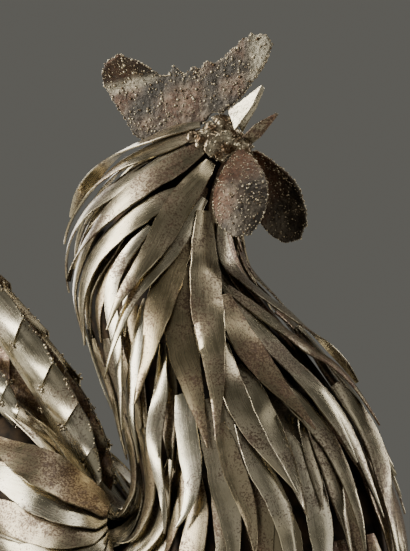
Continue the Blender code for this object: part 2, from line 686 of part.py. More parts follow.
def wattle_half_width(position):
    """Half the width of a wattle along its length: narrow at the top, round at the bottom."""
    if position < WATTLE_WIDEST_SHARE:
        return WATTLE_WIDTH / 2 * sin(pi / 2 * position / WATTLE_WIDEST_SHARE)
    return WATTLE_WIDTH / 2 * sqrt(1 - ((position - WATTLE_WIDEST_SHARE) / (1 - WATTLE_WIDEST_SHARE)) ** 2)


def build_wattle(name, top, fall, out, material, cutters):
    """One cupped wattle, hung at its top; fall is where its tip points, out is its bulging side."""
    top = figure_point(*top)
    fall = Vector(fall).normalized()
    out = Vector(out)
    out = (out - fall * out.dot(fall)).normalized()
    lateral = out.cross(fall)
    rows, columns = 8, 6
    bm = bmesh.new()
    grid = []
    for row in range(rows + 1):
        t = WATTLE_END_SHARES[0] + (WATTLE_END_SHARES[1] - WATTLE_END_SHARES[0]) * row / rows
        line = []
        for column in range(columns + 1):
            s = 2 * column / columns - 1
            bulge = WATTLE_CUP * (1 - s * s) * sin(pi * t) + WATTLE_SPREAD * (2 * t - t * t)
            place = fall * WATTLE_LENGTH * t + lateral * wattle_half_width(t) * s + out * bulge
            line.append(bm.verts.new(top + place))
        grid.append(line)
    for upper, lower in zip(grid, grid[1:]):
        for k in range(columns):
            bm.faces.new((upper[k], upper[k + 1], lower[k + 1], lower[k]))
    bmesh.ops.recalc_face_normals(bm, faces=bm.faces)
    mesh = bpy.data.meshes.new(name)
    bm.to_mesh(mesh)
    bm.free()
    piece = place_mesh(name, mesh, material)
    shell = piece.modifiers.new("sheet", "SOLIDIFY")
    shell.thickness = WATTLE_THICKNESS
    shell.offset = 0
    for cutter in cutters:
        add_boolean(piece, cutter, "DIFFERENCE")


def weld_mesh(name, grown=0.0):
    """A lumpy dome over the end of the neck, or the same grown a little."""
    sides, levels, highest = 14, 4, radians(83)
    angles = np.arange(sides) * 360 / sides
    cap = body_point(angles, np.zeros(sides))
    middle = cap.mean(axis=0)
    along = body_axes(np.array([0.0, 180.0]), np.array([0.0, 0.0]))[1]
    ahead = -along.mean(axis=0)
    ahead /= np.linalg.norm(ahead)
    spread = cap - middle
    size = np.linalg.norm(spread, axis=1)[:, None]
    rings = []
    for level in range(levels + 1):
        turn = level / levels * highest
        lump = 1 + WELD_LUMP * np.sin(np.radians(angles * 3) + level)
        ring = middle + spread * ((cos(turn) * lump * WELD_SHARE)[:, None] + grown / size)
        height = (WELD_HEIGHT + grown) * sin(turn) if level else -2 * grown
        rings.append(ring + ahead * (SEAT_GAP * 2 + height))
    return mesh_from_rings(name, rings)


def jaw_mesh(name, grown=0.0):
    """The lump of weld under the beak that carries the wattles."""
    bm = bmesh.new()
    bmesh.ops.create_icosphere(bm, subdivisions=2, radius=1.0)
    sizes = Vector(JAW_WELD_SIZE) / 2 + Vector((grown, grown, grown))
    for vert in bm.verts:
        lump = 1 + WELD_LUMP / 2 * sin(9 * vert.co.x + 2) * sin(8 * vert.co.z + 1)
        vert.co = vert.co * lump
    bmesh.ops.transform(bm, matrix=Matrix.Diagonal((*sizes, 1)), verts=bm.verts)
    bmesh.ops.transform(bm, matrix=Matrix.Translation(figure_point(*JAW_WELD_PLACE)), verts=bm.verts)
    mesh = bpy.data.meshes.new(name)
    bm.to_mesh(mesh)
    bm.free()
    return mesh


def build_head_weld(coat_cutter):
    """The lump of weld metal where blades, beak, comb and wattles meet."""
    material = steel("weld metal", (0.33, 0.26, 0.18), 0.5)
    weld = place_mesh("head_weld", weld_mesh("head_weld"), material, crease=60)
    add_boolean(weld, make_cutter("jaw weld", jaw_mesh("jaw weld")), "UNION")
    add_boolean(weld, coat_cutter, "DIFFERENCE")


def tail_profile(position, width):
    """Half widths to the front and back edge of a tail plate; the front edge is cut in steps."""
    full = share(width) / 2
    root = TAIL_ROOT_SHARE + (1 - TAIL_ROOT_SHARE) * min(1.0, position / TAIL_ROOT_END_SHARE)
    fall = max(0.0, (position - TAIL_TAPER_START_SHARE) / (1 - TAIL_TAPER_START_SHARE))
    body = full * root * (1 - TAIL_TAPER_SHARE * fall ** TAIL_TAPER_POWER)
    tooth = (position * TAIL_STEPS) % 1.0
    return body * (1 - TAIL_STEP_SHARE * tooth), body


def build_tail_plate(name, lane, width, path, material):
    """One sickle of the tail: an arched strip standing on edge, bulging to its own side."""
    outward = 1 if lane > 0 else -1
    stops = sorted([k / TAIL_STEPS for k in range(TAIL_STEPS + 1)]
                   + [k / TAIL_STEPS - TAIL_CUT_SHARE for k in range(1, TAIL_STEPS + 1)])
    stops = [stop for stop in stops if stop <= TAIL_END_SHARE]
    rings = []
    for stop in stops:
        here = smooth_through(path, stop)
        ahead = smooth_through(path, min(1, stop + 0.01)) - smooth_through(path, max(0, stop - 0.01))
        ahead /= np.linalg.norm(ahead)
        normal = np.array([ahead[1], -ahead[0]])
        front, rear = tail_profile(stop, width)
        y = TAIL_LANE * lane * (1 + TAIL_FAN_SHARE * stop)
        centre = np.array([share(here[0]), y, share(here[1]) + PLATE_THICKNESS])
        side = np.array([normal[0], 0, normal[1]])
        bulge = np.array([0, outward * TAIL_ARCH * min(1, rear / share(width) * 2), 0])
        deep = np.array([0, -outward * TAIL_THICKNESS, 0])
        outer = [centre + side * front, centre + bulge, centre - side * rear]
        rings.append(outer + [point + deep for point in reversed(outer)])
    return place_mesh(name, mesh_from_rings(name, rings), material)


def build_tail(coat_cutter):
    """All tail plates, each in its own lane."""
    bright = steel("tail steel", (0.44, 0.41, 0.34), 0.38)
    brown = steel("brown tail steel", (0.22, 0.15, 0.10), 0.55)
    for name, lane, width, *path in TAIL_PLATES:
        material = brown if name in BROWN_TAIL_PLATES else bright
        plate = build_tail_plate(name, lane, width, path, material)
        add_boolean(plate, coat_cutter, "DIFFERENCE")


def build_leg(name, sign, coat_cutter, material):
    """One leg: thigh, shank, spur and four toes, joined into one piece that stands on the plate."""
    side = -sign
    floor = PLATE_THICKNESS + SEAT_GAP + TOE_RADIUS
    hip = Vector((share(-10), side * (FOOT_OFFSET - share(10)), share(300) + PLATE_THICKNESS))
    hock = Vector((share(-40), side * FOOT_OFFSET, share(180) + PLATE_THICKNESS))
    ankle = Vector((share(5), side * FOOT_OFFSET, floor + share(3)))
    points = [hip, hip.lerp(hock, 0.45), hock.lerp(hip, 0.12), hock, hock.lerp(ankle, 0.1), ankle]
    radii = [THIGH_RADIUS * k for k in THIGH_SHARES] + [SHANK_RADIUS * k for k in SHANK_SHARES]
    leg = place_mesh(name, tube_mesh(name, points, radii), material)
    base = Vector((ankle.x, ankle.y, floor + share(4)))
    toes = [(heading, TOE_LENGTH) for heading in TOE_HEADINGS]
    toes.append((HIND_TOE_HEADING * side, HIND_TOE_LENGTH))
    for k, (heading, length) in enumerate(toes):
        away = Vector((cos(radians(heading)), sin(radians(heading)), 0))
        knuckle = base + away * length * 0.45 + Vector((0, 0, share(6)))
        claw = base + away * length * 0.82
        claw.z = floor
        tip = base + away * length
        tip.z = floor - TOE_RADIUS * 0.75
        start = base - away * TOE_RADIUS * 0.4 + Vector((0, 0, share(0.5 * k)))
        sizes = [TOE_RADIUS * size for size in TOE_SHARES]
        sizes[0] *= 1 - 0.03 * k
        toe = tube_mesh(name + " toe", [start, knuckle, claw, tip], sizes)
        add_boolean(leg, make_cutter(f"{name} toe {k}", toe), "UNION")
    spur_root = hock.lerp(ankle, 0.55)
    spur_tip = spur_root + Vector((-share(26), -side * share(6), share(8)))
    sizes = [SHANK_RADIUS * k for k in SPUR_SHARES]
    spur = tube_mesh(name + " spur", [spur_root, spur_root.lerp(spur_tip, 0.5), spur_tip], sizes)
    add_boolean(leg, make_cutter(name + " spur", spur), "UNION")
    add_boolean(leg, coat_cutter, "DIFFERENCE")


def build_coat_cutter():
    """The coat grown by the seat gap, which trims what stands on it."""
    return make_cutter("coat cutter", coat_mesh("coat cutter", COAT_GROWTH, STEP_SHIFT))


def build_legs(cutter):
    """Both legs, cut to the underside of the coat."""
    material = steel("leg steel", (0.26, 0.22, 0.18), 0.5)
    build_leg("leg_right", 1, cutter, material)
    build_leg("leg_left", -1, cutter, material)


def main():
    """Clear the scene and build every piece of the rooster."""
    for piece in list(bpy.data.objects):
        bpy.data.objects.remove(piece)
    for title in (COLLECTION, CUTTERS):
        bpy.context.scene.collection.children.link(bpy.data.collections.new(title))
    build_base_plate()
    build_inner_coat()
    cutter = build_coat_cutter()
    build_legs(cutter)
    build_blades()
    welds = [make_cutter("weld cutter", weld_mesh("weld cutter", SEAT_GAP)),
             make_cutter("jaw cutter", jaw_mesh("jaw cutter", SEAT_GAP))]
    build_comb([cutter] + welds)
    build_beak(welds)
    wattle_steel = steel("dark spattered steel", (0.20, 0.14, 0.11), 0.6)
    for name, top, fall, out in WATTLES:
        build_wattle(name, top, fall, out, wattle_steel, welds)
    build_head_weld(cutter)
    build_tail(cutter)


main()
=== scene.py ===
"""Scrap metal rooster: welded blades, spatter, bare steel, light and camera around the fixed frame."""
from math import ceil, pi, radians

import bmesh
import bpy
import numpy as np
from bpy.props import FloatProperty, FloatVectorProperty, IntProperty, PointerProperty
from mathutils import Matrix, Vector, noise


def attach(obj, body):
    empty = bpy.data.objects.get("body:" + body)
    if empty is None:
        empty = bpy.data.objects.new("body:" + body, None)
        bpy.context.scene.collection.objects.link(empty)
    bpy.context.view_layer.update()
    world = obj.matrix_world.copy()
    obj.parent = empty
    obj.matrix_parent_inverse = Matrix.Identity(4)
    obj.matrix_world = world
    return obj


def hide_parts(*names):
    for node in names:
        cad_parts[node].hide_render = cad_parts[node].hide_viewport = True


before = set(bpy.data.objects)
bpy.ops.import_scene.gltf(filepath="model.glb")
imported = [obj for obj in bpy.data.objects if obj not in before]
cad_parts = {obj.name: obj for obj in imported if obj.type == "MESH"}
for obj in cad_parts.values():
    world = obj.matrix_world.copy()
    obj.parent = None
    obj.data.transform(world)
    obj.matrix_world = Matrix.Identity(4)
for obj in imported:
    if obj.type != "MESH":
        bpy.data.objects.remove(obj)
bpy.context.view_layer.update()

bl_info = {
    "name": "Scrap Metal Rooster",
    "version": (1, 0, 0),
    "blender": (4, 5, 0),
    "location": "View3D > Sidebar > Rooster",
    "description": "Dresses the rooster's frame with welded steel blades, weld spatter and studio light",
    "category": "Object",
}

ROOT = "root"
MM = 0.001

# The figure, in thousandths of its height above the base plate, as in the part's source
FIGURE_HEIGHT = 1.000
PLATE_THICKNESS = 0.010

# Widths of the flat bars, and the outline and bends of a blade
WING_BAR = 0.036
WIDE_BAR = 0.028
BROAD_BAR = 0.024
MEDIUM_BAR = 0.020
NARROW_BAR = 0.016
BLADE_GAP = 0.0004
FLARE_POWER = 2.2
ROOT_SHARE = 0.45
ROOT_GROWTH = 0.30
TIP_SHARE = 0.05
TAPER_START = 0.46
TAPER_POWER = 1.2
RING_STEP = 0.026
BEND_RADIUS = 0.045
SAMPLES = 11
FINE_POINTS = 60
LEAST_BENDS = 5
END_MARGIN = 0.02

# Finish of a blade: fewest cross sections, places across the face, and waves of the face in metres and of the
# edge as a share of the width, each with its length; the chamfer's and crown's limits on narrow tips
LEAST_SECTIONS = 12
FACE_PLACES = (1.0, 0.6, 0.2, -0.2, -0.6, -1.0)
FACE_WAVES = ((0.00022, 0.017), (0.00010, 0.0073))
EDGE_WAVES = ((0.022, 0.0061), (0.016, 0.0027))
CHAMFER_SHARE = 0.2
CROWN_WIDTH = 0.02
SEAM_MARGIN = 0.01

# How a blade settles on those below it: rounds, longest moves in degrees and stations; slack, highest lift
# and floor of the blades between in metres; how much of a facet's width counts for each side
SETTLING_ROUNDS = 5
LONGEST_TURN = 6.0
LONGEST_STEP = 0.3
HEIGHT_SLACK = 0.002
HIGHEST_LIFT = 0.030
UNDER_FLOOR = -0.002
SIDE_SHARE = 0.4

# Distance between the cross sections of a filling feather, of an outer blade
FEATHER_STEP = 0.008
BLADE_STEP = 0.003

# Bar and length of the filling feathers by station, and how much closer the courses are at the head
BAR_STATIONS = (0.5, 3, 6, 9, 12)
BARS = (NARROW_BAR, MEDIUM_BAR, WIDE_BAR, WIDE_BAR, WING_BAR)
LENGTH_STATIONS = (0.3, 1.5, 4, 8, 12, 18)
LENGTHS = (0.075, 0.105, 0.135, 0.150, 0.150, 0.130)
FIRST_COURSE = 0.25
LAST_COURSE = 1.3
LEAST_FEATHERS = 7
COURSE_ANGLE = 60.0
COURSE_STEP = 0.5
HEAD_STATIONS = (0.5, 4)
HEAD_SPACING = (0.62, 1)

# Every other filling feather is left out on the back, where the outer ones hide it
BACK_ANGLE = 110
BACK_START = 8.2
BACK_END = 12.2

# How much the filling feathers differ: station, angle, shares of bar and of length; margin at the rump's end
STATION_PLAY = 0.14
ANGLE_PLAY = 2
BAR_PLAY = (0.88, 1.1)
LENGTH_PLAY = (0.85, 1.15)
RUMP_MARGIN = 0.12

# Backing under the feathers: rings, degrees between its points, depth below the lowest feather
SHELL_RINGS = 84
SHELL_STEP = 6.0
SHELL_GAP = 0.003

# Angle above which edges are drawn sharp, for bent bar, for the beak and for cast and remeshed pieces
BAR_CREASE = 35
BEAK_CREASE = 40
CAST_CREASE = 60
GIRTH_POINTS = 60
FLOW_STEPS = 12

# Names of the groups of filling feathers, with the station at which each ends
REGIONS = ((4.6, "neck_feathers"), (9.5, "breast_feathers"), (13.6, "belly_feathers"), (99, "rump_feathers"))

# Body stations: back line (x, z), breast line (x, z), half width
STATIONS = [
    ((8, 938), (34, 912), 14),
    ((-45, 915), (36, 880), 34),
    ((-98, 878), (36, 840), 56),
    ((-133, 825), (44, 796), 76),
    ((-140, 770), (72, 755), 92),
    ((-122, 710), (112, 708), 104),
    ((-97, 655), (152, 655), 112),
    ((-77, 602), (184, 595), 118),
    ((-70, 578), (206, 525), 122),
    ((-70, 566), (213, 450), 126),
    ((-73, 557), (200, 380), 129),
    ((-78, 552), (162, 322), 131),
    ((-85, 552), (108, 288), 132),
    ((-96, 560), (45, 275), 131),
    ((-112, 580), (-22, 280), 128),
    ((-132, 603), (-84, 302), 121),
    ((-156, 626), (-138, 336), 110),
    ((-184, 645), (-184, 382), 94),
    ((-214, 658), (-222, 438), 72),
    ((-240, 664), (-250, 502), 48),
    ((-258, 662), (-268, 572), 24),
]
LAST_STATION = len(STATIONS) - 1

# Outer blades: name, bar, rise of the tip in mm, (angle, station) from root to tip, and the look:
# rust at the root, rust at the tip, brightness, golden film, in tenths. Each replaces the node of its name.
# A low brightness darkens a blade: partly a duller finish, partly painted shade, chiefly on the breast, which
# faces away from the key light, and on the right wing's blades
BLADES = [
    ("saddle_blade_right_2", NARROW_BAR, 4, (150, 12.4), (153, 13.4), (152, 15.2), (148, 17.6), 3, 3, 5, 3),
    ("saddle_blade_right_1", NARROW_BAR, 5, (146, 9.4), (155, 10.9), (158, 13.6), (156, 17.0), 3, 3, 5, 4),
    ("wing_blade_right_5", WING_BAR, 3, (138, 12.4), (114, 13.2), (92, 14.8), (76, 16.8), 6, 5, 2, 2),
    ("wing_blade_right_4", WING_BAR, 3, (141, 12.4), (124, 13.5), (104, 15.4), (88, 17.4), 5, 3, 5, 2),
    ("wing_blade_right_3", WING_BAR, 3, (144, 12.3), (132, 13.6), (116, 15.6), (100, 17.8), 6, 5, 2, 3),
    ("wing_blade_right_2", WING_BAR, 3, (147, 12.2), (139, 13.6), (128, 15.6), (114, 18.0), 3, 2, 7, 1),
    ("wing_blade_right_1", WING_BAR, 4, (150, 12.0), (146, 13.6), (138, 15.6), (128, 18.2), 7, 6, 2, 4),
    ("breast_blade_01", BROAD_BAR, 3, (88, 5.8), (93, 6.6), (98, 7.5), (108, 8.6), 2, 2, 9, 1),
    ("breast_blade_02", WIDE_BAR, 3, (78, 5.9), (80, 6.6), (83, 7.7), (83, 9.4), 4, 1, 7, 4),
    ("breast_blade_03", MEDIUM_BAR, 3, (67, 6.3), (66, 7.0), (62, 7.7), (60, 9.2), 3, 1, 8, 3),
    ("breast_blade_04", BROAD_BAR, 3, (48, 6.5), (46, 7.2), (47, 7.9), (49, 9.4), 4, 0, 9, 2),
    ("breast_blade_05", MEDIUM_BAR, 4, (5, 5.7), (0, 6.5), (4, 7.4), (9, 8.6), 5, 4, 4, 2),
    ("breast_blade_06", NARROW_BAR, 4, (22, 5.2), (16, 6.1), (15, 6.9), (14, 7.7), 4, 4, 5, 2),
    ("breast_blade_07", MEDIUM_BAR, 3, (40, 4.5), (41, 5.7), (33, 6.7), (30, 8.4), 5, 4, 5, 3),
    ("neck_strip_right", BROAD_BAR, 2, (117, 6.4), (121, 7.6), (128, 9.0), (136, 11.4), 2, 2, 6, 4),
    ("neck_blade_01", NARROW_BAR, 2, (84, 4.9), (98, 5.9), (109, 6.8), (112, 8.9), 1, 1, 9, 3),
    ("neck_blade_02", NARROW_BAR, 2, (83, 4.1), (100, 5.1), (114, 5.8), (122, 7.0), 1, 1, 10, 1),
    ("breast_blade_08", BROAD_BAR, 3, (55, 5.3), (56, 6.1), (54, 7.0), (52, 7.8), 5, 2, 7, 3),
    ("breast_blade_09", MEDIUM_BAR, 3, (55, 4.9), (63, 5.7), (63, 6.5), (55, 7.4), 4, 3, 6, 4),
    ("breast_blade_10", BROAD_BAR, 4, (38, 4.0), (31, 5.0), (28, 6.0), (26, 7.0), 5, 4, 6, 2),
    ("breast_blade_11", NARROW_BAR, 3, (36, 3.8), (18, 4.7), (1, 5.6), (-3, 6.5), 6, 9, 4, 2),
    ("breast_blade_12", BROAD_BAR, 6, (41, 4.0), (46, 4.8), (45, 5.7), (39, 6.5), 7, 8, 5, 5),
    ("neck_blade_03", NARROW_BAR, 3, (80, 2.6), (102, 3.9), (109, 5.0), (123, 6.4), 1, 2, 9, 3),
    ("neck_blade_04", WIDE_BAR, 4, (56, 3.3), (70, 4.4), (79, 5.6), (83, 6.7), 5, 4, 6, 8),
    ("neck_blade_05", WIDE_BAR, 4, (52, 2.4), (68, 3.7), (88, 4.9), (108, 5.95), 4, 3, 7, 9),
    ("neck_blade_06", NARROW_BAR, 4, (47, 1.8), (64, 3.1), (92, 4.3), (119, 5.5), 1, 1, 9, 4),
    ("throat_blade", MEDIUM_BAR, 5, (26, 2.2), (22, 3.4), (4, 4.5), (-10, 5.8), 5, 5, 5, 2),
    ("neck_blade_07", WIDE_BAR, 7, (46, 2.1), (43, 3.1), (60, 4.8), (78, 6.6), 3, 6, 7, 6),
    ("hackle_blade_5", BROAD_BAR, 4, (67, 1.7), (92, 2.5), (117, 3.6), (136, 4.95), 3, 1, 8, 5),
    ("hackle_blade_6", BROAD_BAR, 4, (58, 0.9), (64, 1.9), (74, 3.2), (105, 4.7), 5, 3, 7, 6),
    ("hackle_blade_3", MEDIUM_BAR, 7, (106, 0.8), (110, 1.7), (146, 2.7), (174, 4.1), 4, 5, 6, 3),
    ("hackle_blade_4", BROAD_BAR, 5, (80, 0.5), (93, 1.5), (114, 2.7), (136, 3.9), 8, 4, 7, 4),
    ("hackle_blade_2", BROAD_BAR, 9, (108, 0.45), (128, 1.1), (152, 1.9), (174, 3.3), 3, 4, 7, 6),
    ("hackle_blade_1", NARROW_BAR, 14, (119, 0.25), (146, 0.9), (166, 1.7), (179, 2.9), 2, 3, 6, 4),
    ("wing_blade_left_3", WING_BAR, 3, (-138, 12.4), (-114, 13.2), (-92, 14.8), (-76, 16.8), 3, 3, 6, 3),
    ("wing_blade_left_2", WING_BAR, 3, (-144, 12.3), (-132, 13.6), (-116, 15.6), (-100, 17.8), 3, 3, 6, 3),
    ("wing_blade_left_1", WING_BAR, 4, (-150, 12.0), (-146, 13.6), (-138, 15.6), (-128, 18.2), 4, 3, 6, 3),
    ("left_breast_blade_1", WIDE_BAR, 3, (-66, 5.4), (-70, 6.2), (-74, 7.2), (-72, 8.8), 4, 3, 6, 3),
    ("left_breast_blade_2", BROAD_BAR, 4, (-30, 4.2), (-32, 5.2), (-34, 6.4), (-30, 7.8), 5, 5, 5, 3),
    ("left_neck_blade_1", BROAD_BAR, 3, (-72, 2.8), (-92, 4.0), (-106, 5.2), (-118, 6.8), 3, 3, 7, 4),
    ("left_neck_blade_2", WIDE_BAR, 4, (-46, 1.8), (-56, 3.2), (-70, 4.6), (-84, 6.2), 4, 5, 7, 5),
    ("left_hackle_blade_2", BROAD_BAR, 4, (-72, 0.6), (-90, 1.6), (-112, 2.8), (-132, 4.2), 5, 3, 7, 4),
    ("left_hackle_blade_1", BROAD_BAR, 9, (-106, 0.45), (-126, 1.1), (-150, 1.9), (-172, 3.3), 4, 3, 7, 4),
]

# Blades between the outer ones, laid just before the named one
BETWEEN = {
    "neck_strip_right": [
        (NARROW_BAR, 2, (104, 6.9), (112, 7.6), (120, 9.2), (130, 11.6), 3, 3, 5, 4),
        (NARROW_BAR, 2, (130, 6.2), (138, 7.4), (144, 9.0), (150, 11.4), 3, 3, 4, 3),
    ],
    "breast_blade_03": [
        (NARROW_BAR, 2, (71, 6.0), (73, 6.5), (70, 6.9), (66, 7.5), 3, 3, 6, 4),
        (MEDIUM_BAR, 2, (75, 6.3), (76, 7.0), (75, 7.6), (74, 8.6), 3, 3, 5, 7),
    ],
    "breast_blade_05": [
        (NARROW_BAR, 2, (37, 6.1), (40, 6.6), (43, 7.1), (45, 7.6), 4, 2, 5, 3),
        (NARROW_BAR, 2, (37, 6.3), (37, 6.9), (37, 7.5), (35, 8.4), 5, 4, 3, 2),
        (MEDIUM_BAR, 4, (-10, 5.0), (-14, 5.8), (-17, 6.6), (-18, 7.5), 5, 4, 5, 3),
        (NARROW_BAR, 5, (-2, 4.6), (-6, 5.4), (-9, 6.2), (-10, 7.2), 4, 4, 5, 3),
    ],
    "neck_blade_04": [
        (NARROW_BAR, 2, (66, 2.6), (78, 3.3), (90, 4.0), (101, 4.8), 1, 1, 9, 4),
    ],
    "hackle_blade_4": [
        (MEDIUM_BAR, 4, (140, 0.9), (152, 1.5), (168, 2.2), (178, 3.5), 3, 3, 6, 4),
    ],
}

# How many degrees a blade turns round the body per station, by station and angle from the throat
FLOW_STATIONS = (0.5, 2.0, 3.5, 5.0, 6.5, 8.0, 12.0, 13.0, 20.0)
FLOW_ANGLES = (0, 22, 45, 65, 85, 105, 125, 150, 180)
FLOW = [
    (0, 4, 10, 18, 20, 26, 30, 24, 0),
    (0, -3, 2, 14, 26, 22, 24, 20, 0),
    (0, -8, 0, 14, 20, 22, 15, 8, 0),
    (0, -10, 0, 10, 15, 16, 10, 3, 0),
    (0, -4, -1, 3, 7, 8, 6, 4, 0),
    (0, -1, -2, -1, 1, 3, 5, 4, 0),
    (0, 0, 0, 0, -1, -3, -6, -5, 0),
    (0, 0, -1, -3, -7, -8, -8, -4, 0),
    (0, 0, -1, -2, -4, -6, -6, -4, 0),
]

# Seeds of the random draws
SEEDS = {"plumage": 5, "comb": 11, "wattle": 21, "weld": 43, "tail": 51}

# Looks of the filling feathers: range of each part, and how much of the breast's rust and painted shade it
# gets; the breast faces away from the key light and its feathers are painted darker
FEATHER_LOOKS = ((0.1, 0.6, 1), (0, 0.5, 1), (0.0, 0.8, -0.5), (0, 0.7, 0))
FEATHER_FLARE = (0, 2)
BREAST_ANGLES = (40, 110)
BREAST_RUST_AND_SHADE = (0.45, 0.0)

# Fold of the comb's rear lobe, (x, z) of both ends, and where its crease, hollow, front lobe and burn are
COMB_FOLD = ((-104, 968), (-52, 978))
REAR_EDGE = (-0.005, 0.012)
CREASE_PLACE = 0.002
CREASE_WIDTH = 0.007
HOLLOW_EDGE = (0.006, 0.014)
FRONT_LOBE = (0.042, 0.058)
BURN_X = -0.055
BURN_Z = 0.9635
BURN_WIDTH = 0.017

# Lumps that the head weld's runs are made of, and beads of spatter on it
WELD_LUMPS = 120
WELD_BEADS = 220
WELD_ANGLES = (38, 112)
WELD_STATIONS = (0.02, 0.66)
WELD_RISE = (0.002, 0.006)
WELD_RADII = (0.0030, 0.0075)
WELD_SQUASH = 0.6
WELD_SPATTER = (0.0005, 0.0022)

# Even mesh and relief of a kind of piece: voxel, smoothing rounds, relief, seed, size and share of each noise
FINISHES = {
    "comb": (0.0012, 3, 0.00045, 3, ((0.012, 1.0), (0.005, 0.7), (0.0022, 0.7))),
    "wattle": (0.0011, 4, 0.00045, 13, ((0.010, 1.0), (0.0045, 0.9), (0.002, 0.8))),
    "beak": (0.0007, 2, 0.00025, 31, ((0.006, 1.0), (0.002, 0.7))),
    "weld": (0.0009, 2, 0.0012, 41, ((0.009, 1.0), (0.004, 0.7), (0.002, 0.5))),
    "leg": (0.0018, 3, 0.0005, 61, ((0.02, 1.0), (0.006, 0.6))),
}

# Blotches of colour on a kind of piece: size and seed
BLOTCHES = {"comb": (0.022, 9), "wattle": (0.02, 5), "beak": (0.012, 7), "weld": (0.010, 4)}

# How much rougher the rim is than the face, and how much more spatter it has; most beads are small
COMB_RIM = 1.6
WATTLE_RIM = 1.4
BEAK_RIM = 0.4
SPATTER_RIM = 7
SPATTER_POWER = 2.4

# Tail plates: name, lane from the middle, width, then (x, z) from root to tip
TAIL_PLATES = [
    ("tail_plate_1", -2, 42, (-106, 560), (-131, 620), (-172, 684), (-232, 758), (-335, 852), (-474, 832)),
    ("tail_plate_2", 0, 44, (-104, 556), (-130, 610), (-172, 670), (-254, 758), (-348, 840), (-462, 820)),
    ("tail_plate_3", -1, 38, (-134, 590), (-164, 640), (-222, 686), (-300, 722), (-380, 712), (-450, 660)),
    ("tail_plate_4", 1, 40, (-128, 584), (-152, 640), (-206, 712), (-280, 784), (-355, 806), (-440, 770)),
    ("tail_plate_5", 2, 42, (-116, 562), (-146, 612), (-194, 676), (-276, 768), (-378, 848), (-490, 806)),
    ("tail_plate_6", 3, 36, (-164, 618), (-198, 660), (-262, 700), (-340, 698), (-400, 668), (-450, 610)),
    ("tail_plate_7", -3, 36, (-190, 632), (-222, 672), (-280, 704), (-345, 690), (-400, 650), (-440, 596)),
]

# Tail plates: distance of their lanes, lobes on each, cross sections and points of a lobe, width at the root,
# slant, step and notch of the cuts, length of the lay, drops of weld per cut, growth and fall of the width,
# and where along the plate the lobes begin, end and overlap
TAIL_LANE = 0.0125
TAIL_LOBES = 8
TAIL_RINGS = 18
TAIL_SIDES = 13
TAIL_ROOT = 0.45
TAIL_SLANT = 0.026
TAIL_STEP = 0.16
TAIL_NOTCH = 0.012
TAIL_RUN = 0.7
TAIL_DROPS = 12
DROP_SPREAD = 0.0022
DROP_LINE = 0.0008
DROP_RADII = (0.0006, 0.0017)
TAIL_GROWTH = 0.18
TAIL_TAPER = 0.62
TAIL_TAPER_RUN = 0.38
TAIL_THINNING = 0.90
TAIL_POWER = 1.6
TAIL_REACH = 0.01
TAIL_START = 0.004
TAIL_STOP = 0.970
TAIL_END = 0.996
TAIL_OVERLAP = 0.10
BROWN_TAIL = ("tail_plate_2", "tail_plate_3")

# Wattles: name, top, outward side
WATTLES = [
    ("wattle_right", (43, -10, 908), (0.06, -0.90, 0.42)),
    ("wattle_left", (45, 10, 908), (-0.10, 0.90, 0.42)),
]
WATTLE_LENGTH = 0.110
WATTLE_WIDTH = 0.057

# Camera of the photo's view
CAMERA_PLACE = (1.0988, -2.3564, 0.79)
CAMERA_AIM = (0.0, 0.0, 0.79)
CAMERA_LENS = 170
CAMERA_SENSOR = 36

# Studio lights: name, place, width, height, watts; all aim at one point
LIGHT_AIM = (0, 0, 0.75)
LIGHT_COLOUR = (1.0, 0.97, 0.92)
LIGHTS = [
    ("key light", (-1.75, -1.35, 1.60), 1.1, 2.4, 95),
    ("front fill", (1.1, -3.0, 1.3), 2.6, 2.6, 7),
    ("side fill", (2.2, -0.7, 1.2), 0.8, 2.2, 7),
    ("top light", (0.2, 0.2, 2.9), 1.2, 1.2, 22),
    ("rim light", (1.6, 1.5, 1.5), 0.4, 1.8, 22),
    ("back fill", (-1.9, 1.5, 1.5), 1.4, 1.8, 36),
]
FLOOR_CORNERS = 128
FLOOR_DROP = 0.0005


def linear(hex_colour):
    """An sRGB hex colour as linear values."""
    parts = [int(hex_colour[k:k + 2], 16) / 255 for k in (1, 3, 5)]
    return tuple(c / 12.92 if c <= 0.04045 else ((c + 0.055) / 1.055) ** 2.4 for c in parts)


def per_mm(size):
    """Texture scale at which one cell is that many millimetres."""
    return 1 / (size * MM)


def share(value):
    """A size given in thousandths of the figure, in metres."""
    return value * FIGURE_HEIGHT / 1000


def figure_point(x, y, z):
    """A point given in thousandths of the figure above the plate, in metres."""
    return np.array([share(x), share(y), share(z) + PLATE_THICKNESS])


def smooth_through(values, position):
    """Catmull-Rom curve through evenly spaced values, read at positions from 0 to 1."""
    values = np.asarray(values, float)
    count = len(values) - 1
    place = np.clip(np.asarray(position, float), 0, 1) * count
    index = np.minimum(place.astype(int), count - 1)
    f = (place - index)[..., None]
    ends = np.vstack([2 * values[0] - values[1], values, 2 * values[-1] - values[-2]])
    a, b, c, d = ends[index], ends[index + 1], ends[index + 2], ends[index + 3]
    square = 2 * a - 5 * b + 4 * c - d
    cube = 3 * b - a - 3 * c + d
    return 0.5 * (2 * b + (c - a) * f + square * f ** 2 + cube * f ** 3)


PROFILE = [(*back, *breast, half) for back, breast, half in STATIONS]


def body_point(angle, station):
    """Points of the body surface; angle in degrees from the throat, positive on the right side."""
    turn = np.radians(np.asarray(angle, float))
    row = share(smooth_through(PROFILE, np.asarray(station, float) / LAST_STATION))
    middle = (row[..., 0:2] + row[..., 2:4]) / 2
    reach = (row[..., 2:4] - row[..., 0:2]) / 2
    sagittal = middle + reach * np.cos(turn)[..., None]
    return np.stack([sagittal[..., 0], -np.sin(turn) * row[..., 4], sagittal[..., 1] + PLATE_THICKNESS], -1)


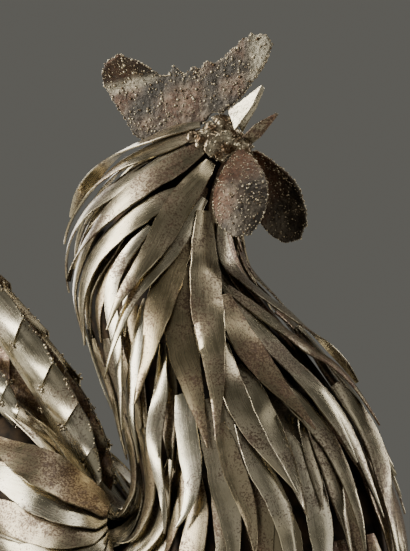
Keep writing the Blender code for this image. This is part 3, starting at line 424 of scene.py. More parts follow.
def body_axes(angle, station):
    """How the surface moves per degree and per station, and its outward direction."""
    step_angle, step_station = 0.5, 0.02
    low = np.clip(station - step_station, 0, LAST_STATION)
    high = np.clip(station + step_station, 0, LAST_STATION)
    across = body_point(angle + step_angle, station) - body_point(angle - step_angle, station)
    across = across / (2 * step_angle)
    along = (body_point(angle, high) - body_point(angle, low)) / (high - low)[..., None]
    out = np.cross(across, along)
    out /= np.linalg.norm(out, axis=-1)[..., None]
    return across, along, out


def raised_point(angle, station, rise):
    """Points straight above the body surface."""
    return body_point(angle, station) + body_axes(angle, station)[2] * np.asarray(rise)[..., None]


def nearest_place(points, place):
    """One step towards the surface points nearest to given points, and the height over the surface there."""
    across, along, out = body_axes(place[..., 0], place[..., 1])
    miss = points - body_point(place[..., 0], place[..., 1])
    height = (miss * out).sum(-1)
    aa, bb, ab = (across ** 2).sum(-1), (along ** 2).sum(-1), (across * along).sum(-1)
    ma, mb = (miss * across).sum(-1), (miss * along).sum(-1)
    determinant = aa * bb - ab ** 2
    step = np.stack([ma * bb - mb * ab, mb * aa - ma * ab], -1) / determinant[..., None]
    moved = place + np.clip(step, (-LONGEST_TURN, -LONGEST_STEP), (LONGEST_TURN, LONGEST_STEP))
    moved[..., 1] = np.clip(moved[..., 1], 0, LAST_STATION)
    return moved, height


class Pile:
    """Height of what already lies on the body surface, kept on a grid of angle and station."""
    ANGLE_CELL = 2.0
    STATION_CELL = 0.1

    def __init__(self, start):
        self.columns = int(360 / self.ANGLE_CELL)
        self.rows = int(LAST_STATION / self.STATION_CELL) + 1
        self.height = np.full((self.columns, self.rows), start)

    def cells(self, place):
        """Column and row of the cells that places lie in."""
        column = np.floor(np.mod(place[..., 0], 360) / self.ANGLE_CELL).astype(int) % self.columns
        row = np.clip(np.rint(place[..., 1] / self.STATION_CELL).astype(int), 0, self.rows - 1)
        return column, row

    def read(self, place):
        """Height of the pile at places."""
        return self.height[self.cells(place)]

    def add(self, place, top):
        """Raises the cells at and around places to a height at least."""
        column, row = self.cells(place)
        for side in (-1, 0, 1):
            for end in (-1, 0, 1):
                where = ((column + side) % self.columns, np.clip(row + end, 0, self.rows - 1))
                np.maximum.at(self.height, where, top)


def facet_weights(count):
    """Corner shares of points spread over a four-cornered facet."""
    down, over = np.meshgrid(np.linspace(0, 1, count), np.linspace(0, 1, count), indexing="ij")
    weights = np.stack([(1 - down) * (1 - over), (1 - down) * over, down * (1 - over), down * over], -1)
    return weights.reshape(-1, 4)


WEIGHTS = facet_weights(SAMPLES)
NEAR_SIDE = WEIGHTS[:, 0] + WEIGHTS[:, 2] > SIDE_SHARE
FAR_SIDE = WEIGHTS[:, 1] + WEIGHTS[:, 3] > SIDE_SHARE


def facets_of(rows):
    """The four corners of every facet between rows of two points."""
    return np.concatenate([rows[:-1], rows[1:]], axis=1)


def blade_width(position, bar):
    """Half the width along a blade: narrowed root, full bar, long pointed tip."""
    root = ROOT_SHARE + (1 - ROOT_SHARE) * np.sin(np.clip(position / ROOT_GROWTH, 0, 1) * pi / 2)
    fall = np.clip((position - TAPER_START) / (1 - TAPER_START), 0, 1)
    return bar / 2 * root * (1 - (1 - TIP_SHARE) * fall ** TAPER_POWER)


def blade_rings(route, bar):
    """Share of the length, angle and station of a blade's two edges at rings, closer where it bends hard."""
    fine = smooth_through(route, np.linspace(0, 1, FINE_POINTS))
    points = body_point(fine[:, 0], fine[:, 1])
    lengths = np.linalg.norm(np.diff(points, axis=0), axis=1)
    turns = np.linalg.norm(np.diff(body_axes(fine[:, 0], fine[:, 1])[2], axis=0), axis=1)
    extra = BEND_RADIUS * np.maximum(0, turns - lengths / BEND_RADIUS)
    travel = np.concatenate([[0], np.cumsum(lengths)])
    effort = np.concatenate([[0], np.cumsum(lengths + extra)])
    count = max(LEAST_BENDS, ceil(effort[-1] / RING_STEP))
    stops = np.linspace(0, effort[-1], count + 1)
    position = np.interp(stops, effort, travel) / travel[-1]
    middle = np.stack([np.interp(stops, effort, fine[:, k]) for k in (0, 1)], -1)
    across, along, out = body_axes(middle[:, 0], middle[:, 1])
    heading = np.gradient(body_point(middle[:, 0], middle[:, 1]), axis=0)
    heading /= np.linalg.norm(heading, axis=1)[:, None]
    lateral = np.cross(out, heading) * blade_width(position, bar)[:, None]
    aa, bb, ab = (across ** 2).sum(-1), (along ** 2).sum(-1), (across * along).sum(-1)
    la, lb = (lateral * across).sum(-1), (lateral * along).sum(-1)
    shift = np.stack([la * bb - lb * ab, lb * aa - la * ab], -1) / (aa * bb - ab ** 2)[:, None]
    edges = np.stack([middle - shift, middle + shift], 1)
    edges[..., 1] = np.clip(edges[..., 1], END_MARGIN, LAST_STATION - END_MARGIN)
    return position, edges, travel[-1]


def lay_blade(pile, route, bar, flare, floor, thickness, highest=1.0):
    """Rests a blade on the pile and adds it there; returns its edges, their heights and its length.

    A blade that would stand higher than the highest place isn't laid.
    """
    position, edges, length = blade_rings(route, bar)
    heights = np.full(edges.shape[:2], floor)
    place = WEIGHTS @ facets_of(edges)
    for step in range(SETTLING_ROUNDS):
        points = WEIGHTS @ facets_of(raised_point(edges[..., 0], edges[..., 1], heights))
        place, height = nearest_place(points, place)
        short = np.maximum(pile.read(place), floor) + BLADE_GAP - height
        for side, part in ((0, short[:, NEAR_SIDE]), (1, short[:, FAR_SIDE])):
            lift = part.max(axis=1) if step == 1 else np.maximum(part.max(axis=1), 0)
            heights[:, side] += np.maximum(np.append(lift, lift[-1]), np.insert(lift, 0, lift[0]))
        heights = np.clip(heights, floor - HEIGHT_SLACK, floor + HIGHEST_LIFT)
        if step == 1 and heights.max() > highest:
            return None
        if step == 2:
            padded = np.vstack([heights[:1], heights, heights[-1:]])
            heights[1:] = np.maximum(heights, (padded[:-2] + padded[1:-1] + padded[2:]) / 3)[1:]
            heights += (flare * MM * position ** FLARE_POWER)[:, None]
    if (heights - (flare * MM * position ** FLARE_POWER)[:, None]).max() > highest + HEIGHT_SLACK:
        return None
    pile.add(place, height + thickness)
    return position, edges, heights, length


class Sheaf:
    """Collects closed strips and lumps into one mesh, with their run, width and look kept as attributes."""

    def __init__(self):
        self.points, self.lay, self.tone, self.faces, self.loops, self.count = [], [], [], [], [], 0

    def add_strip(self, rings, lay, tone):
        """A closed strip; rings and lay are (rings, sides, 3), tone is (rings, 4)."""
        rows, sides = rings.shape[:2]
        index = self.count + np.arange(rows * sides).reshape(rows, sides)
        turned = np.roll(index, -1, axis=1)
        quads = np.stack([index[:-1], turned[:-1], turned[1:], index[1:]], -1).reshape(-1, 4)
        self.faces += quads.tolist()
        self.faces.append(index[0][::-1].tolist())
        self.faces.append(index[-1].tolist())
        self.points.append(rings.reshape(-1, 3))
        self.lay.append(lay.reshape(-1, 3))
        self.tone.append(np.repeat(tone, sides, axis=0))
        self.count += rows * sides

    def add_lumps(self, places, outs, sizes, tone, squash=0.75):
        """Weld beads: small rounded lumps that sit on a surface."""
        template, triangles = BEAD
        helper = np.where(np.abs(outs[:, 2:3]) < 0.9, [[0.0, 0.0, 1.0]], [[1.0, 0.0, 0.0]])
        first = np.cross(outs, helper)
        first /= np.linalg.norm(first, axis=1)[:, None]
        second = np.cross(outs, first)
        basis = np.stack([first, second, outs * squash], 1) * sizes[:, None, None]
        lumps = template[None] @ basis + places[:, None]
        index = self.count + np.arange(len(places))[:, None, None] * len(template) + triangles[None]
        self.faces += index.reshape(-1, 3).tolist()
        self.points.append(lumps.reshape(-1, 3))
        self.lay.append(lumps.reshape(-1, 3))
        self.tone.append(np.repeat(tone, len(template), axis=0))
        self.count += len(places) * len(template)

    def mesh(self, name):
        """The strips and lumps as one mesh."""
        mesh = bpy.data.meshes.new(name)
        mesh.from_pydata(np.concatenate(self.points).tolist(), [], self.faces)
        fit_mesh(mesh)
        return mesh

    def make(self, name, material, slot, crease=BAR_CREASE):
        """Puts the strips and lumps in the scene as a piece of the bird."""
        mesh = self.mesh(name)
        store(mesh, "lay", np.concatenate(self.lay))
        store(mesh, "tone", np.concatenate(self.tone))
        return place_piece(name, mesh, material, crease)


def store(mesh, name, values):
    """Keeps a value for every point of a mesh: three parts as a vector, four as a colour."""
    kind, part = ("FLOAT_VECTOR", "vector") if values.shape[1] == 3 else ("FLOAT_COLOR", "color")
    attribute = mesh.attributes.new(name, kind, "POINT")
    attribute.data.foreach_set(part, values.astype(np.float32).ravel())


def looks(rust, bright, gold):
    """The look of every point from its three parts, which are single values or one for each."""
    return np.stack(np.broadcast_arrays(rust, bright, gold, 1.0), -1)


def fit_mesh(mesh):
    """Turns the faces of a mesh outwards."""
    bm = bmesh.new()
    bm.from_mesh(mesh)
    bmesh.ops.recalc_face_normals(bm, faces=bm.faces)
    bm.to_mesh(mesh)
    bm.free()


def place_piece(name, mesh, material, crease=BAR_CREASE):
    """Puts a mesh in the scene as a piece that rides on the bird."""
    piece = bpy.data.objects.new(name, mesh)
    bpy.context.scene.collection.objects.link(piece)
    mesh.materials.clear()
    mesh.materials.append(material)
    mesh.shade_smooth()
    mesh.set_sharp_from_angle(angle=radians(crease))
    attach(piece, ROOT)
    return piece


def bead_template():
    """A small rounded lump of radius 1, as points and triangles."""
    bm = bmesh.new()
    bmesh.ops.create_icosphere(bm, subdivisions=2, radius=1.0)
    points = np.array([tuple(vert.co) for vert in bm.verts])
    triangles = np.array([[vert.index for vert in face.verts] for face in bm.faces])
    bm.free()
    return points, triangles


BEAD = bead_template()


def waves(distance, sizes, phase, start):
    """Small waves along a blade around a starting value, from the height and length of each."""
    return sum((high * np.sin(distance / long + turn) for (high, long), turn in zip(sizes, phase)), start)


def add_blade(sheaf, position, edges, heights, length, look, settings, rng, step):
    """A finished blade: a bent bar with a crowned face, eased cut edges and small unevenness."""
    count = max(LEAST_SECTIONS, int(length / step))
    t = np.linspace(0, 1, count)
    index = np.linspace(0, 1, len(position))
    run = np.interp(t, index, position)
    fine = smooth_through(edges.reshape(len(position), 4), t).reshape(count, 2, 2)
    rise = smooth_through(heights, t)
    phase = rng.uniform(0, 6.28, 6)
    distance = run * length
    ripple = waves(distance, FACE_WAVES, phase[:2], 0.0)
    ragged = waves(distance, EDGE_WAVES, phase[2:4], 1.0)
    centre = fine.mean(1, keepdims=True)
    fine = centre + (fine - centre) * ragged[:, None, None]
    fine[..., 1] = np.clip(fine[..., 1], SEAM_MARGIN, LAST_STATION - SEAM_MARGIN)
    base = body_point(fine[..., 0], fine[..., 1])
    out = body_axes(fine[..., 0], fine[..., 1])[2]
    low = base + out * (rise + ripple[:, None])[..., None]
    high = low + out * settings.blade_thickness
    span = high[:, 1] - high[:, 0]
    width = np.linalg.norm(span, axis=1)
    up = out.mean(1)
    chamfer = np.minimum(settings.edge_chamfer, width * CHAMFER_SHARE)
    inset = span / width[:, None] * chamfer[:, None]
    crown = settings.blade_crown * np.minimum(1, width / CROWN_WIDTH)
    rings = [low[:, 0], low[:, 1], high[:, 1] - out[:, 1] * chamfer[:, None]]
    across = [0, width, width]
    middle = (high[:, 0] + high[:, 1]) / 2
    for part in FACE_PLACES:
        rings.append(middle + (span / 2 - inset) * part + up * (crown * (1 - part ** 2))[:, None])
        across.append(width * (1 + part) / 2)
    rings.append(high[:, 0] - out[:, 0] * chamfer[:, None])
    across.append(0 * width)
    rings = np.stack(rings, 1)
    seed = rng.uniform(0, 50)
    lay = np.stack([np.repeat(distance[:, None], len(across), 1),
                    np.stack([value + 0 * width for value in across], 1),
                    np.full((count, len(across)), seed)], -1)
    rust_root, rust_tip, bright, gold = look
    sheaf.add_strip(rings, lay, looks(rust_root + (rust_tip - rust_root) * run, bright, gold))


def flow(angle, station):
    """Degrees per station that a blade turns at a place; mirrored on the left side."""
    row = np.interp(station, FLOW_STATIONS, np.arange(len(FLOW_STATIONS)))
    low = min(int(row), len(FLOW) - 2)
    values = np.array(FLOW[low]) * (1 - row + low) + np.array(FLOW[low + 1]) * (row - low)
    return np.sign(angle) * np.interp(abs(angle), FLOW_ANGLES, values)


def flow_route(angle, station, length):
    """(angle, station) knots of a blade that follows the plumage's flow for a given length."""
    knots = [(angle, station)]
    for _ in range(FLOW_STEPS):
        across, along, _ = body_axes(np.array(angle), np.array(station))
        turn = flow(angle, station)
        ahead = length / FLOW_STEPS / np.linalg.norm(along + across * turn)
        if station + ahead > LAST_STATION - RUMP_MARGIN:
            break
        station += ahead
        angle += turn * ahead
        knots.append((angle, station))
    knots = np.array(knots)
    return smooth_through(knots, np.linspace(0, 1, 5)) if len(knots) > 3 else None


def feed(node, inputs):
    """Links inputs of a node to outputs, or sets them to values."""
    for key, value in inputs.items():
        if isinstance(value, bpy.types.NodeSocket):
            node.id_data.links.new(value, node.inputs[key])
        else:
            node.inputs[key].default_value = (*value, 1) if node.inputs[key].type == "RGBA" else value


def add(tree, kind, settings, inputs, output=0):
    """Adds a node with its settings and links, and gives one of its outputs."""
    node = tree.nodes.new(kind)
    for key, value in settings.items():
        setattr(node, key, value)
    feed(node, inputs)
    return node.outputs[output]


# Kinds of node, and the settings they share
MATHS, STEP, MIX = "ShaderNodeMath", "ShaderNodeMapRange", "ShaderNodeMix"
NOISE, BUMP = "ShaderNodeTexNoise", "ShaderNodeBump"
PLUS, TIMES, LESS = {"operation": "ADD"}, {"operation": "MULTIPLY"}, {"operation": "SUBTRACT"}
SOFT = {"interpolation_type": "SMOOTHSTEP"}
TINT = {"data_type": "RGBA", "clamp_factor": True}
STAIN = {"data_type": "RGBA", "clamp_factor": True, "blend_type": "MULTIPLY"}


def new_material(name, colour):
    """An empty material: itself, its nodes, shader, object coordinates and the three parts of the look."""
    material = bpy.data.materials.new(name)
    material.use_nodes = True
    material.diffuse_color = (*colour, 1)
    tree = material.node_tree
    where = add(tree, "ShaderNodeTexCoord", {}, {}, "Object")
    tone = add(tree, "ShaderNodeAttribute", {"attribute_name": "tone"}, {}, "Color")
    parts = [add(tree, "ShaderNodeSeparateColor", {}, {"Color": tone}, part) for part in range(3)]
    return material, tree, tree.nodes["Principled BSDF"], where, parts


def flat_bar_steel(colours):
    """Hot rolled flat bar, ground bright and clear lacquered over what rust had started.

    The eye gets warm satin metal with long soft highlights, fine brown speckle and dark pits.
    """
    material, tree, shader, where, (rust, bright, gold) = new_material(
        "flat bar steel, ground and lacquered", colours.steel_light)
    lay = add(tree, "ShaderNodeAttribute", {"attribute_name": "lay"}, {}, "Vector")
    fields = []
    for size, detail, rough in ((38, 4.0, 0.55), (5.0, 5.0, 0.65), (1.9, 4.0, 0.7), (1.5, 3.0, 0.7)):
        inputs = {"Vector": where, "Scale": per_mm(size), "Detail": detail, "Roughness": rough}
        fields.append(add(tree, NOISE, {}, inputs))
    cloud, spot, speck, pit = fields
    # The grinder's strokes run along the bar; true strokes are 0.2 mm apart and are drawn 1.3 mm apart
    stroke = add(tree, "ShaderNodeMapping", {}, {"Vector": lay, "Scale": (per_mm(60), per_mm(1.3), 1.0)})
    grinding = add(tree, NOISE, {}, {"Vector": stroke, "Scale": 1.0, "Detail": 4.0})
    # Rust comes in patches: a thin brown film with dense specks, a few spots outside it
    patch = add(tree, MATHS, PLUS, {0: cloud, 1: add(tree, MATHS, TIMES, {0: rust, 1: 0.34})})
    patch = add(tree, STEP, SOFT, {0: patch, 1: 0.47, 2: 0.84})
    grown = add(tree, MATHS, TIMES, {0: patch, 1: 0.17})
    specks = add(tree, STEP, SOFT, {0: add(tree, MATHS, PLUS, {0: speck, 1: grown}), 1: 0.62, 2: 0.68})
    spots = add(tree, STEP, SOFT, {0: add(tree, MATHS, PLUS, {0: spot, 1: grown}), 1: 0.68, 2: 0.75})
    open_patch = add(tree, STEP, SOFT, {0: add(tree, MATHS, PLUS, {0: spot, 1: cloud}), 1: 0.85, 2: 1.2})
    heavy = add(tree, MATHS, TIMES, {0: add(tree, STEP, SOFT, {0: rust, 1: 0.55, 2: 0.95}), 1: open_patch})
    pits = add(tree, STEP, SOFT, {0: pit, 1: 0.63, 2: 0.72})
    # Ground metal, lighter and darker in clouds, with a straw heat film over whole blades, and a dull film
    # that darkens blades of low brightness: partly a duller finish, partly painted shade on blades turned
    # from the key light
    worn = add(tree, STEP, SOFT, {0: cloud, 1: 0.35, 2: 0.65})
    colour = add(tree, MIX, TINT, {0: worn, 6: colours.steel_dark, 7: colours.steel_light}, 2)
    straw = add(tree, MATHS, TIMES, {0: gold, 1: 0.6})
    colour = add(tree, MIX, STAIN, {0: straw, 6: colour, 7: colours.gold_film}, 2)
    dull = add(tree, STEP, SOFT, {0: bright, 1: 0.0, 2: 1.0, 3: 0.55, 4: 0.0})
    colour = add(tree, MIX, STAIN, {0: dull, 6: colour, 7: colours.dull_film_and_painted_shade}, 2)
    # Brown film, then spots, specks and open rust, then pits
    for amount, strength, tint in ((patch, 0.40, colours.brown_film), (heavy, 0.60, colours.orange_rust),
                                   (spots, 0.55, colours.dark_rust), (specks, 0.78, colours.dark_rust),
                                   (pits, 0.40, colours.pit)):
        share_of = add(tree, MATHS, TIMES, {0: amount, 1: strength})
        colour = add(tree, MIX, TINT, {0: share_of, 6: colour, 7: tint}, 2)
    rough = add(tree, STEP, SOFT, {0: grinding, 1: 0.3, 2: 0.7, 3: 0.20, 4: 0.28})
    for amount in (patch, specks):
        rough = add(tree, MATHS, PLUS, {0: rough, 1: add(tree, MATHS, TIMES, {0: amount, 1: 0.10})})
    open_rust = add(tree, MATHS, PLUS, {0: spots, 1: heavy})
    relief = add(tree, MATHS, TIMES, {0: grinding, 1: 0.14})
    relief = add(tree, MATHS, PLUS, {0: relief, 1: add(tree, MATHS, TIMES, {0: spot, 1: 0.35})})
    relief = add(tree, MATHS, LESS, {0: relief, 1: add(tree, MATHS, TIMES, {0: pits, 1: 0.35})})
    metal = add(tree, STEP, SOFT, {0: open_rust, 1: 0.0, 2: 1.6, 3: 1.0, 4: 0.25})
    bump = add(tree, BUMP, {}, {"Strength": 0.22, "Distance": 0.0006, "Height": relief}, "Normal")
    feed(shader, {"Base Color": colour, "Roughness": rough, "Metallic": metal, "Normal": bump,
                  "Coat Weight": 0.15, "Coat Roughness": 0.2})
    return material


def painted_gap_shade_steel(colours):
    """Unground bar deep inside the plumage, painted near-black with a faint brown mottle: painted shade, so
    that the gaps between the feathers read as deep shadow.
    """
    material, tree, shader, where, _ = new_material("inner bar steel, mill scale and soot", colours.pit)
    # The near-black colour is painted shade for the gaps, mottled a little towards brown
    mottle = add(tree, NOISE, {}, {"Vector": where, "Scale": per_mm(18), "Detail": 5.0})
    mottled_gap_shade = add(tree, STEP, SOFT, {0: mottle, 1: 0.35, 2: 0.75, 3: 0.0, 4: 0.4})
    colour = add(tree, MIX, TINT, {0: mottled_gap_shade, 6: colours.pit, 7: colours.brown_film}, 2)
    feed(shader, {"Base Color": colour, "Metallic": 0.8, "Roughness": 0.62})
    return material


def spattered_plate(colours, name, rough_low, rough_high):
    """Torch-cut plate that caught weld spatter: dark scale, heat colours, brown rust and a gritty surface."""
    material, tree, shader, where, (rust, bare, heat) = new_material(name, colours.scale_dark)
    mottle = add(tree, NOISE, {}, {"Vector": where, "Scale": per_mm(16), "Detail": 6.0, "Roughness": 0.65})
    grit = add(tree, NOISE, {}, {"Vector": where, "Scale": per_mm(2.6), "Detail": 6.0, "Roughness": 0.75})
    worn = add(tree, STEP, SOFT, {0: mottle, 1: 0.38, 2: 0.68})
    colour = add(tree, MIX, TINT, {0: worn, 6: colours.plate_dark, 7: colours.plate_light}, 2)
    rusted = add(tree, MATHS, TIMES, {0: rust, 1: add(tree, STEP, SOFT, {0: grit, 1: 0.32, 2: 0.62})})
    holes = add(tree, STEP, SOFT, {0: grit, 1: 0.56, 2: 0.70, 3: 0.0, 4: 0.75})
    for amount, strength, tint in ((rusted, 0.8, colours.plate_rust), (bare, 0.75, colours.steel_dark),
                                   (heat, 0.85, colours.heat_blue), (holes, 1.0, colours.pit)):
        share_of = add(tree, MATHS, TIMES, {0: amount, 1: strength})
        colour = add(tree, MIX, TINT, {0: share_of, 6: colour, 7: tint}, 2)
    rough = add(tree, STEP, SOFT, {0: grit, 1: 0.3, 2: 0.7, 3: rough_low, 4: rough_high})
    bump = add(tree, BUMP, {}, {"Strength": 0.55, "Distance": 0.0009, "Height": grit}, "Normal")
    feed(shader, {"Base Color": colour, "Roughness": rough, "Metallic": 0.85, "Normal": bump})
    return material


def comb_plate(colours):
    """The comb's plate, worn a little smoother by handling."""
    return spattered_plate(colours, "torch cut plate, weld spattered", 0.30, 0.50)


def wattle_sheet(colours):
    """The wattles' sheet, duller and rougher."""
    return spattered_plate(colours, "dark sheet, weld spattered", 0.38, 0.60)


def weld_bead_metal(colours):
    """Frozen drops of weld metal: small shiny balls, straw to brown, each a little different."""
    material, tree, shader, where, (brown, *_) = new_material("weld spatter, as cast", colours.bead)
    grit = add(tree, NOISE, {}, {"Vector": where, "Scale": per_mm(2.5), "Detail": 4.0})
    scale = add(tree, STEP, SOFT, {0: grit, 1: 0.5, 2: 0.75, 3: 0.0, 4: 0.6})
    colour = add(tree, MIX, TINT, {0: brown, 6: colours.bead, 7: colours.bead_brown}, 2)
    colour = add(tree, MIX, TINT, {0: scale, 6: colour, 7: colours.scale_dark}, 2)
    rough = add(tree, STEP, SOFT, {0: grit, 1: 0.3, 2: 0.7, 3: 0.22, 4: 0.42})
    feed(shader, {"Base Color": colour, "Roughness": rough, "Metallic": 0.95})
    return material


def hot_rolled_plate(colours):
    """Hot rolled base plate and leg bar: blue-black mill scale with rust bleeding through, dull and dry."""
    material, tree, shader, where, _ = new_material("hot rolled plate, mill scale", colours.scale_dark)
    cloud = add(tree, NOISE, {}, {"Vector": where, "Scale": per_mm(70), "Detail": 7.0, "Roughness": 0.62})
    grit = add(tree, NOISE, {}, {"Vector": where, "Scale": per_mm(3.5), "Detail": 5.0, "Roughness": 0.7})
    level = add(tree, MATHS, TIMES, {0: cloud, 1: 0.7})
    level = add(tree, MATHS, PLUS, {0: level, 1: add(tree, MATHS, TIMES, {0: grit, 1: 0.3})})
    worn = add(tree, STEP, SOFT, {0: cloud, 1: 0.35, 2: 0.65})
    colour = add(tree, MIX, TINT, {0: worn, 6: colours.scale_dark, 7: colours.scale_light}, 2)
    for low, high, strength, tint in ((0.50, 0.64, 0.85, colours.dark_rust),
                                      (0.60, 0.72, 0.8, colours.orange_rust)):
        amount = add(tree, STEP, SOFT, {0: level, 1: low, 2: high, 3: 0.0, 4: strength})
        colour = add(tree, MIX, TINT, {0: amount, 6: colour, 7: tint}, 2)
    rough = add(tree, STEP, SOFT, {0: level, 1: 0.4, 2: 0.65, 3: 0.42, 4: 0.75})
    metal = add(tree, STEP, SOFT, {0: level, 1: 0.48, 2: 0.66, 3: 0.9, 4: 0.25})
    bump = add(tree, BUMP, {}, {"Strength": 0.35, "Distance": 0.0008, "Height": grit}, "Normal")
    feed(shader, {"Base Color": colour, "Roughness": rough, "Metallic": metal, "Normal": bump})
    return material


def matt_floor_paint(colours):
    """Matt painted studio floor, rolled on, with a very faint unevenness."""
    material, tree, shader, where, _ = new_material("matt painted floor", colours.floor)
    cloud = add(tree, NOISE, {}, {"Vector": where, "Scale": per_mm(300), "Detail": 3.0})
    shade = tuple(value * 0.94 for value in colours.floor)
    colour = add(tree, MIX, TINT, {0: cloud, 6: colours.floor, 7: shade}, 2)
    feed(shader, {"Base Color": colour, "Roughness": 0.7})
    return material


MATERIALS = {"flat bar": flat_bar_steel, "inner": painted_gap_shade_steel, "comb": comb_plate,
             "wattle": wattle_sheet, "bead": weld_bead_metal, "plate": hot_rolled_plate,
             "floor": matt_floor_paint}


def palette(scene):
    """The colours of the panel as plain values."""
    colours = scene.rooster_colours
    keys = [key for key in colours.bl_rna.properties.keys() if key not in ("rna_type", "name")]
    return type("Palette", (), {key: tuple(getattr(colours, key)) for key in keys})


MADE = {}


def material(scene, key):
    """A material of the bird, made the first time that it is asked for."""
    if key not in MADE:
        MADE[key] = MATERIALS[key](palette(scene))
    return MADE[key]


def courses(sizes, rng):
    """Roots of the filling feathers: station, angle, bar and length of each, from the rump to the head."""
    station = LAST_STATION - LAST_COURSE
    shift = 0.0
    while station > FIRST_COURSE:
        ring = body_point(np.linspace(0, 360, GIRTH_POINTS), np.full(GIRTH_POINTS, station))
        girth = np.linalg.norm(np.diff(ring, axis=0), axis=1).sum()
        bar = np.interp(station, BAR_STATIONS, BARS)
        length = np.interp(station, LENGTH_STATIONS, LENGTHS)
        count = max(LEAST_FEATHERS, int(girth / (bar * sizes.feather_overlap)))
        for k in range(count):
            angle = (k + shift) * 360 / count
            angle = (angle + 180) % 360 - 180
            crowded = abs(angle) > BACK_ANGLE and BACK_START < station < BACK_END and k % 2
            if not crowded:
                yield (station + rng.uniform(-STATION_PLAY, STATION_PLAY),
                       angle + rng.uniform(-ANGLE_PLAY, ANGLE_PLAY),
                       bar * rng.uniform(*BAR_PLAY), length * rng.uniform(*LENGTH_PLAY))
        here, ahead = body_point(np.full(2, COURSE_ANGLE), np.array([station, station - COURSE_STEP]))
        along = np.linalg.norm(ahead - here)
        spacing = sizes.course_spacing * np.interp(station, HEAD_STATIONS, HEAD_SPACING)
        station -= COURSE_STEP * spacing / along
        shift += 0.5


def region_of(angle, station):
    """The name of the group of feathers that a place belongs to."""
    side = "right" if angle >= 0 else "left"
    name = next(name for end, name in REGIONS if station < end)
    return f"{name}_{side}"


def inner_shell(depth):
    """A closed dark surface under all the feathers, so that no gap looks into an empty body."""
    stations = np.linspace(END_MARGIN, LAST_STATION - END_MARGIN, SHELL_RINGS)
    angles = np.arange(0, 360, SHELL_STEP)
    rings = np.stack([raised_point(angles, np.full(len(angles), station), np.full(len(angles), -depth))
                      for station in stations])
    sheaf = Sheaf()
    tone = np.tile((0.5, 0.1, 0.1, 1.0), (len(rings), 1))
    sheaf.add_strip(rings, rings, tone)
    return sheaf


def make_blade(name, blade, floor, pile, sizes, rng, steel):
    """One outer blade from its row of the table, as a piece."""
    bar, flare, *rest = blade
    sheaf = Sheaf()
    parts = lay_blade(pile, rest[:4], bar, flare, floor, sizes.blade_thickness)
    add_blade(sheaf, *parts, [part / 10 for part in rest[4:]], sizes, rng, BLADE_STEP)
    return sheaf.make(name, steel, "bar_steel")


def lay_plumage(context):
    """Lays every feather from the rump to the head, then the outer blades over them."""
    scene = context.scene
    sizes = scene.rooster_sizes
    rng = np.random.default_rng(SEEDS["plumage"])
    pile = Pile(-sizes.feather_depth)
    shell = inner_shell(sizes.feather_depth + SHELL_GAP)
    # A near-black backing under all the feathers: painted shade in the gaps between them
    piece = shell.make("inner_feathers_backing", material(scene, "inner"), "inner_steel", CAST_CREASE)
    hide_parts("inner_feathers")
    sheaves = {}
    for station, angle, bar, length in courses(sizes, rng):
        route = flow_route(angle, station, length)
        if route is None:
            continue
        parts = lay_blade(pile, route, bar, rng.uniform(*FEATHER_FLARE), -sizes.feather_depth,
                          sizes.blade_thickness, sizes.feather_top)
        if parts is None:
            continue
        # Feathers towards the breast get more rust, and painted shade that darkens them, as they face away
        # from the key light
        breast = np.interp(abs(angle), BREAST_ANGLES, BREAST_RUST_AND_SHADE)
        look = [rng.uniform(low, high) + part * breast for low, high, part in FEATHER_LOOKS]
        sheaf = sheaves.setdefault(region_of(angle, station), Sheaf())
        add_blade(sheaf, *parts, look, sizes, rng, FEATHER_STEP)
    steel = material(scene, "flat bar")
    for name, sheaf in sheaves.items():
        sheaf.make(name, steel, "rusty_bar_steel")
    for name, *blade in BLADES:
        for number, under in enumerate(BETWEEN.get(name, [])):
            make_blade(f"{name}_under_{number + 1}", under, UNDER_FLOOR, pile, sizes, rng, steel)
        piece = make_blade(name + "_finished", blade, 0.0, pile, sizes, rng, steel)
        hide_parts(name)


def evaluated_copy(piece):
    """The mesh of an object with its modifiers applied; the object goes."""
    context = bpy.context
    context.view_layer.update()
    mesh = bpy.data.meshes.new_from_object(piece.evaluated_get(context.evaluated_depsgraph_get()))
    bpy.data.objects.remove(piece)
    return mesh


def remeshed(mesh, voxel, smooth):
    """A fine even mesh with a mesh's form; the mesh given goes."""
    draft = bpy.data.objects.new("draft", mesh)
    bpy.context.scene.collection.objects.link(draft)
    voxels = draft.modifiers.new("voxels", "REMESH")
    voxels.mode = "VOXEL"
    voxels.voxel_size = voxel
    even = draft.modifiers.new("even", "SMOOTH")
    even.iterations = smooth
    even.factor = 0.5
    return evaluated_copy(draft)


def node_mesh(name):
    """A copy of a frame node's mesh."""
    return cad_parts[name].data.copy()


def arrays_of(mesh):
    """Points and normals of a mesh as arrays."""
    points = np.zeros(len(mesh.vertices) * 3)
    normals = np.zeros(len(mesh.vertices) * 3)
    mesh.vertices.foreach_get("co", points)
    mesh.vertices.foreach_get("normal", normals)
    return points.reshape(-1, 3), normals.reshape(-1, 3)


def noise_of(points, cell, seed):
    """Smooth noise from -1 to 1 at points, with features of a size."""
    shift = Vector((seed * 7.1, seed * 3.3, seed * 5.7))
    return np.array([noise.noise(Vector(point) / cell + shift) for point in points])


def roughen(mesh, relief, cells, seed, rim_extra=0.0, rim_axis=None):
    """Moves the points of a mesh in and out by noise of several sizes; more along a sheet's rim."""
    points, normals = arrays_of(mesh)
    push = sum(noise_of(points, cell, seed + k) * share_of for k, (cell, share_of) in enumerate(cells))
    rim = np.zeros(len(points))
    if rim_axis is not None:
        rim = np.clip(1.3 - np.abs(normals @ np.asarray(rim_axis)) * 2.2, 0, 1)
    moved = points + normals * (relief * push * (1 + rim_extra * rim))[:, None]
    mesh.vertices.foreach_set("co", moved.ravel())
    mesh.update()
    return points, rim


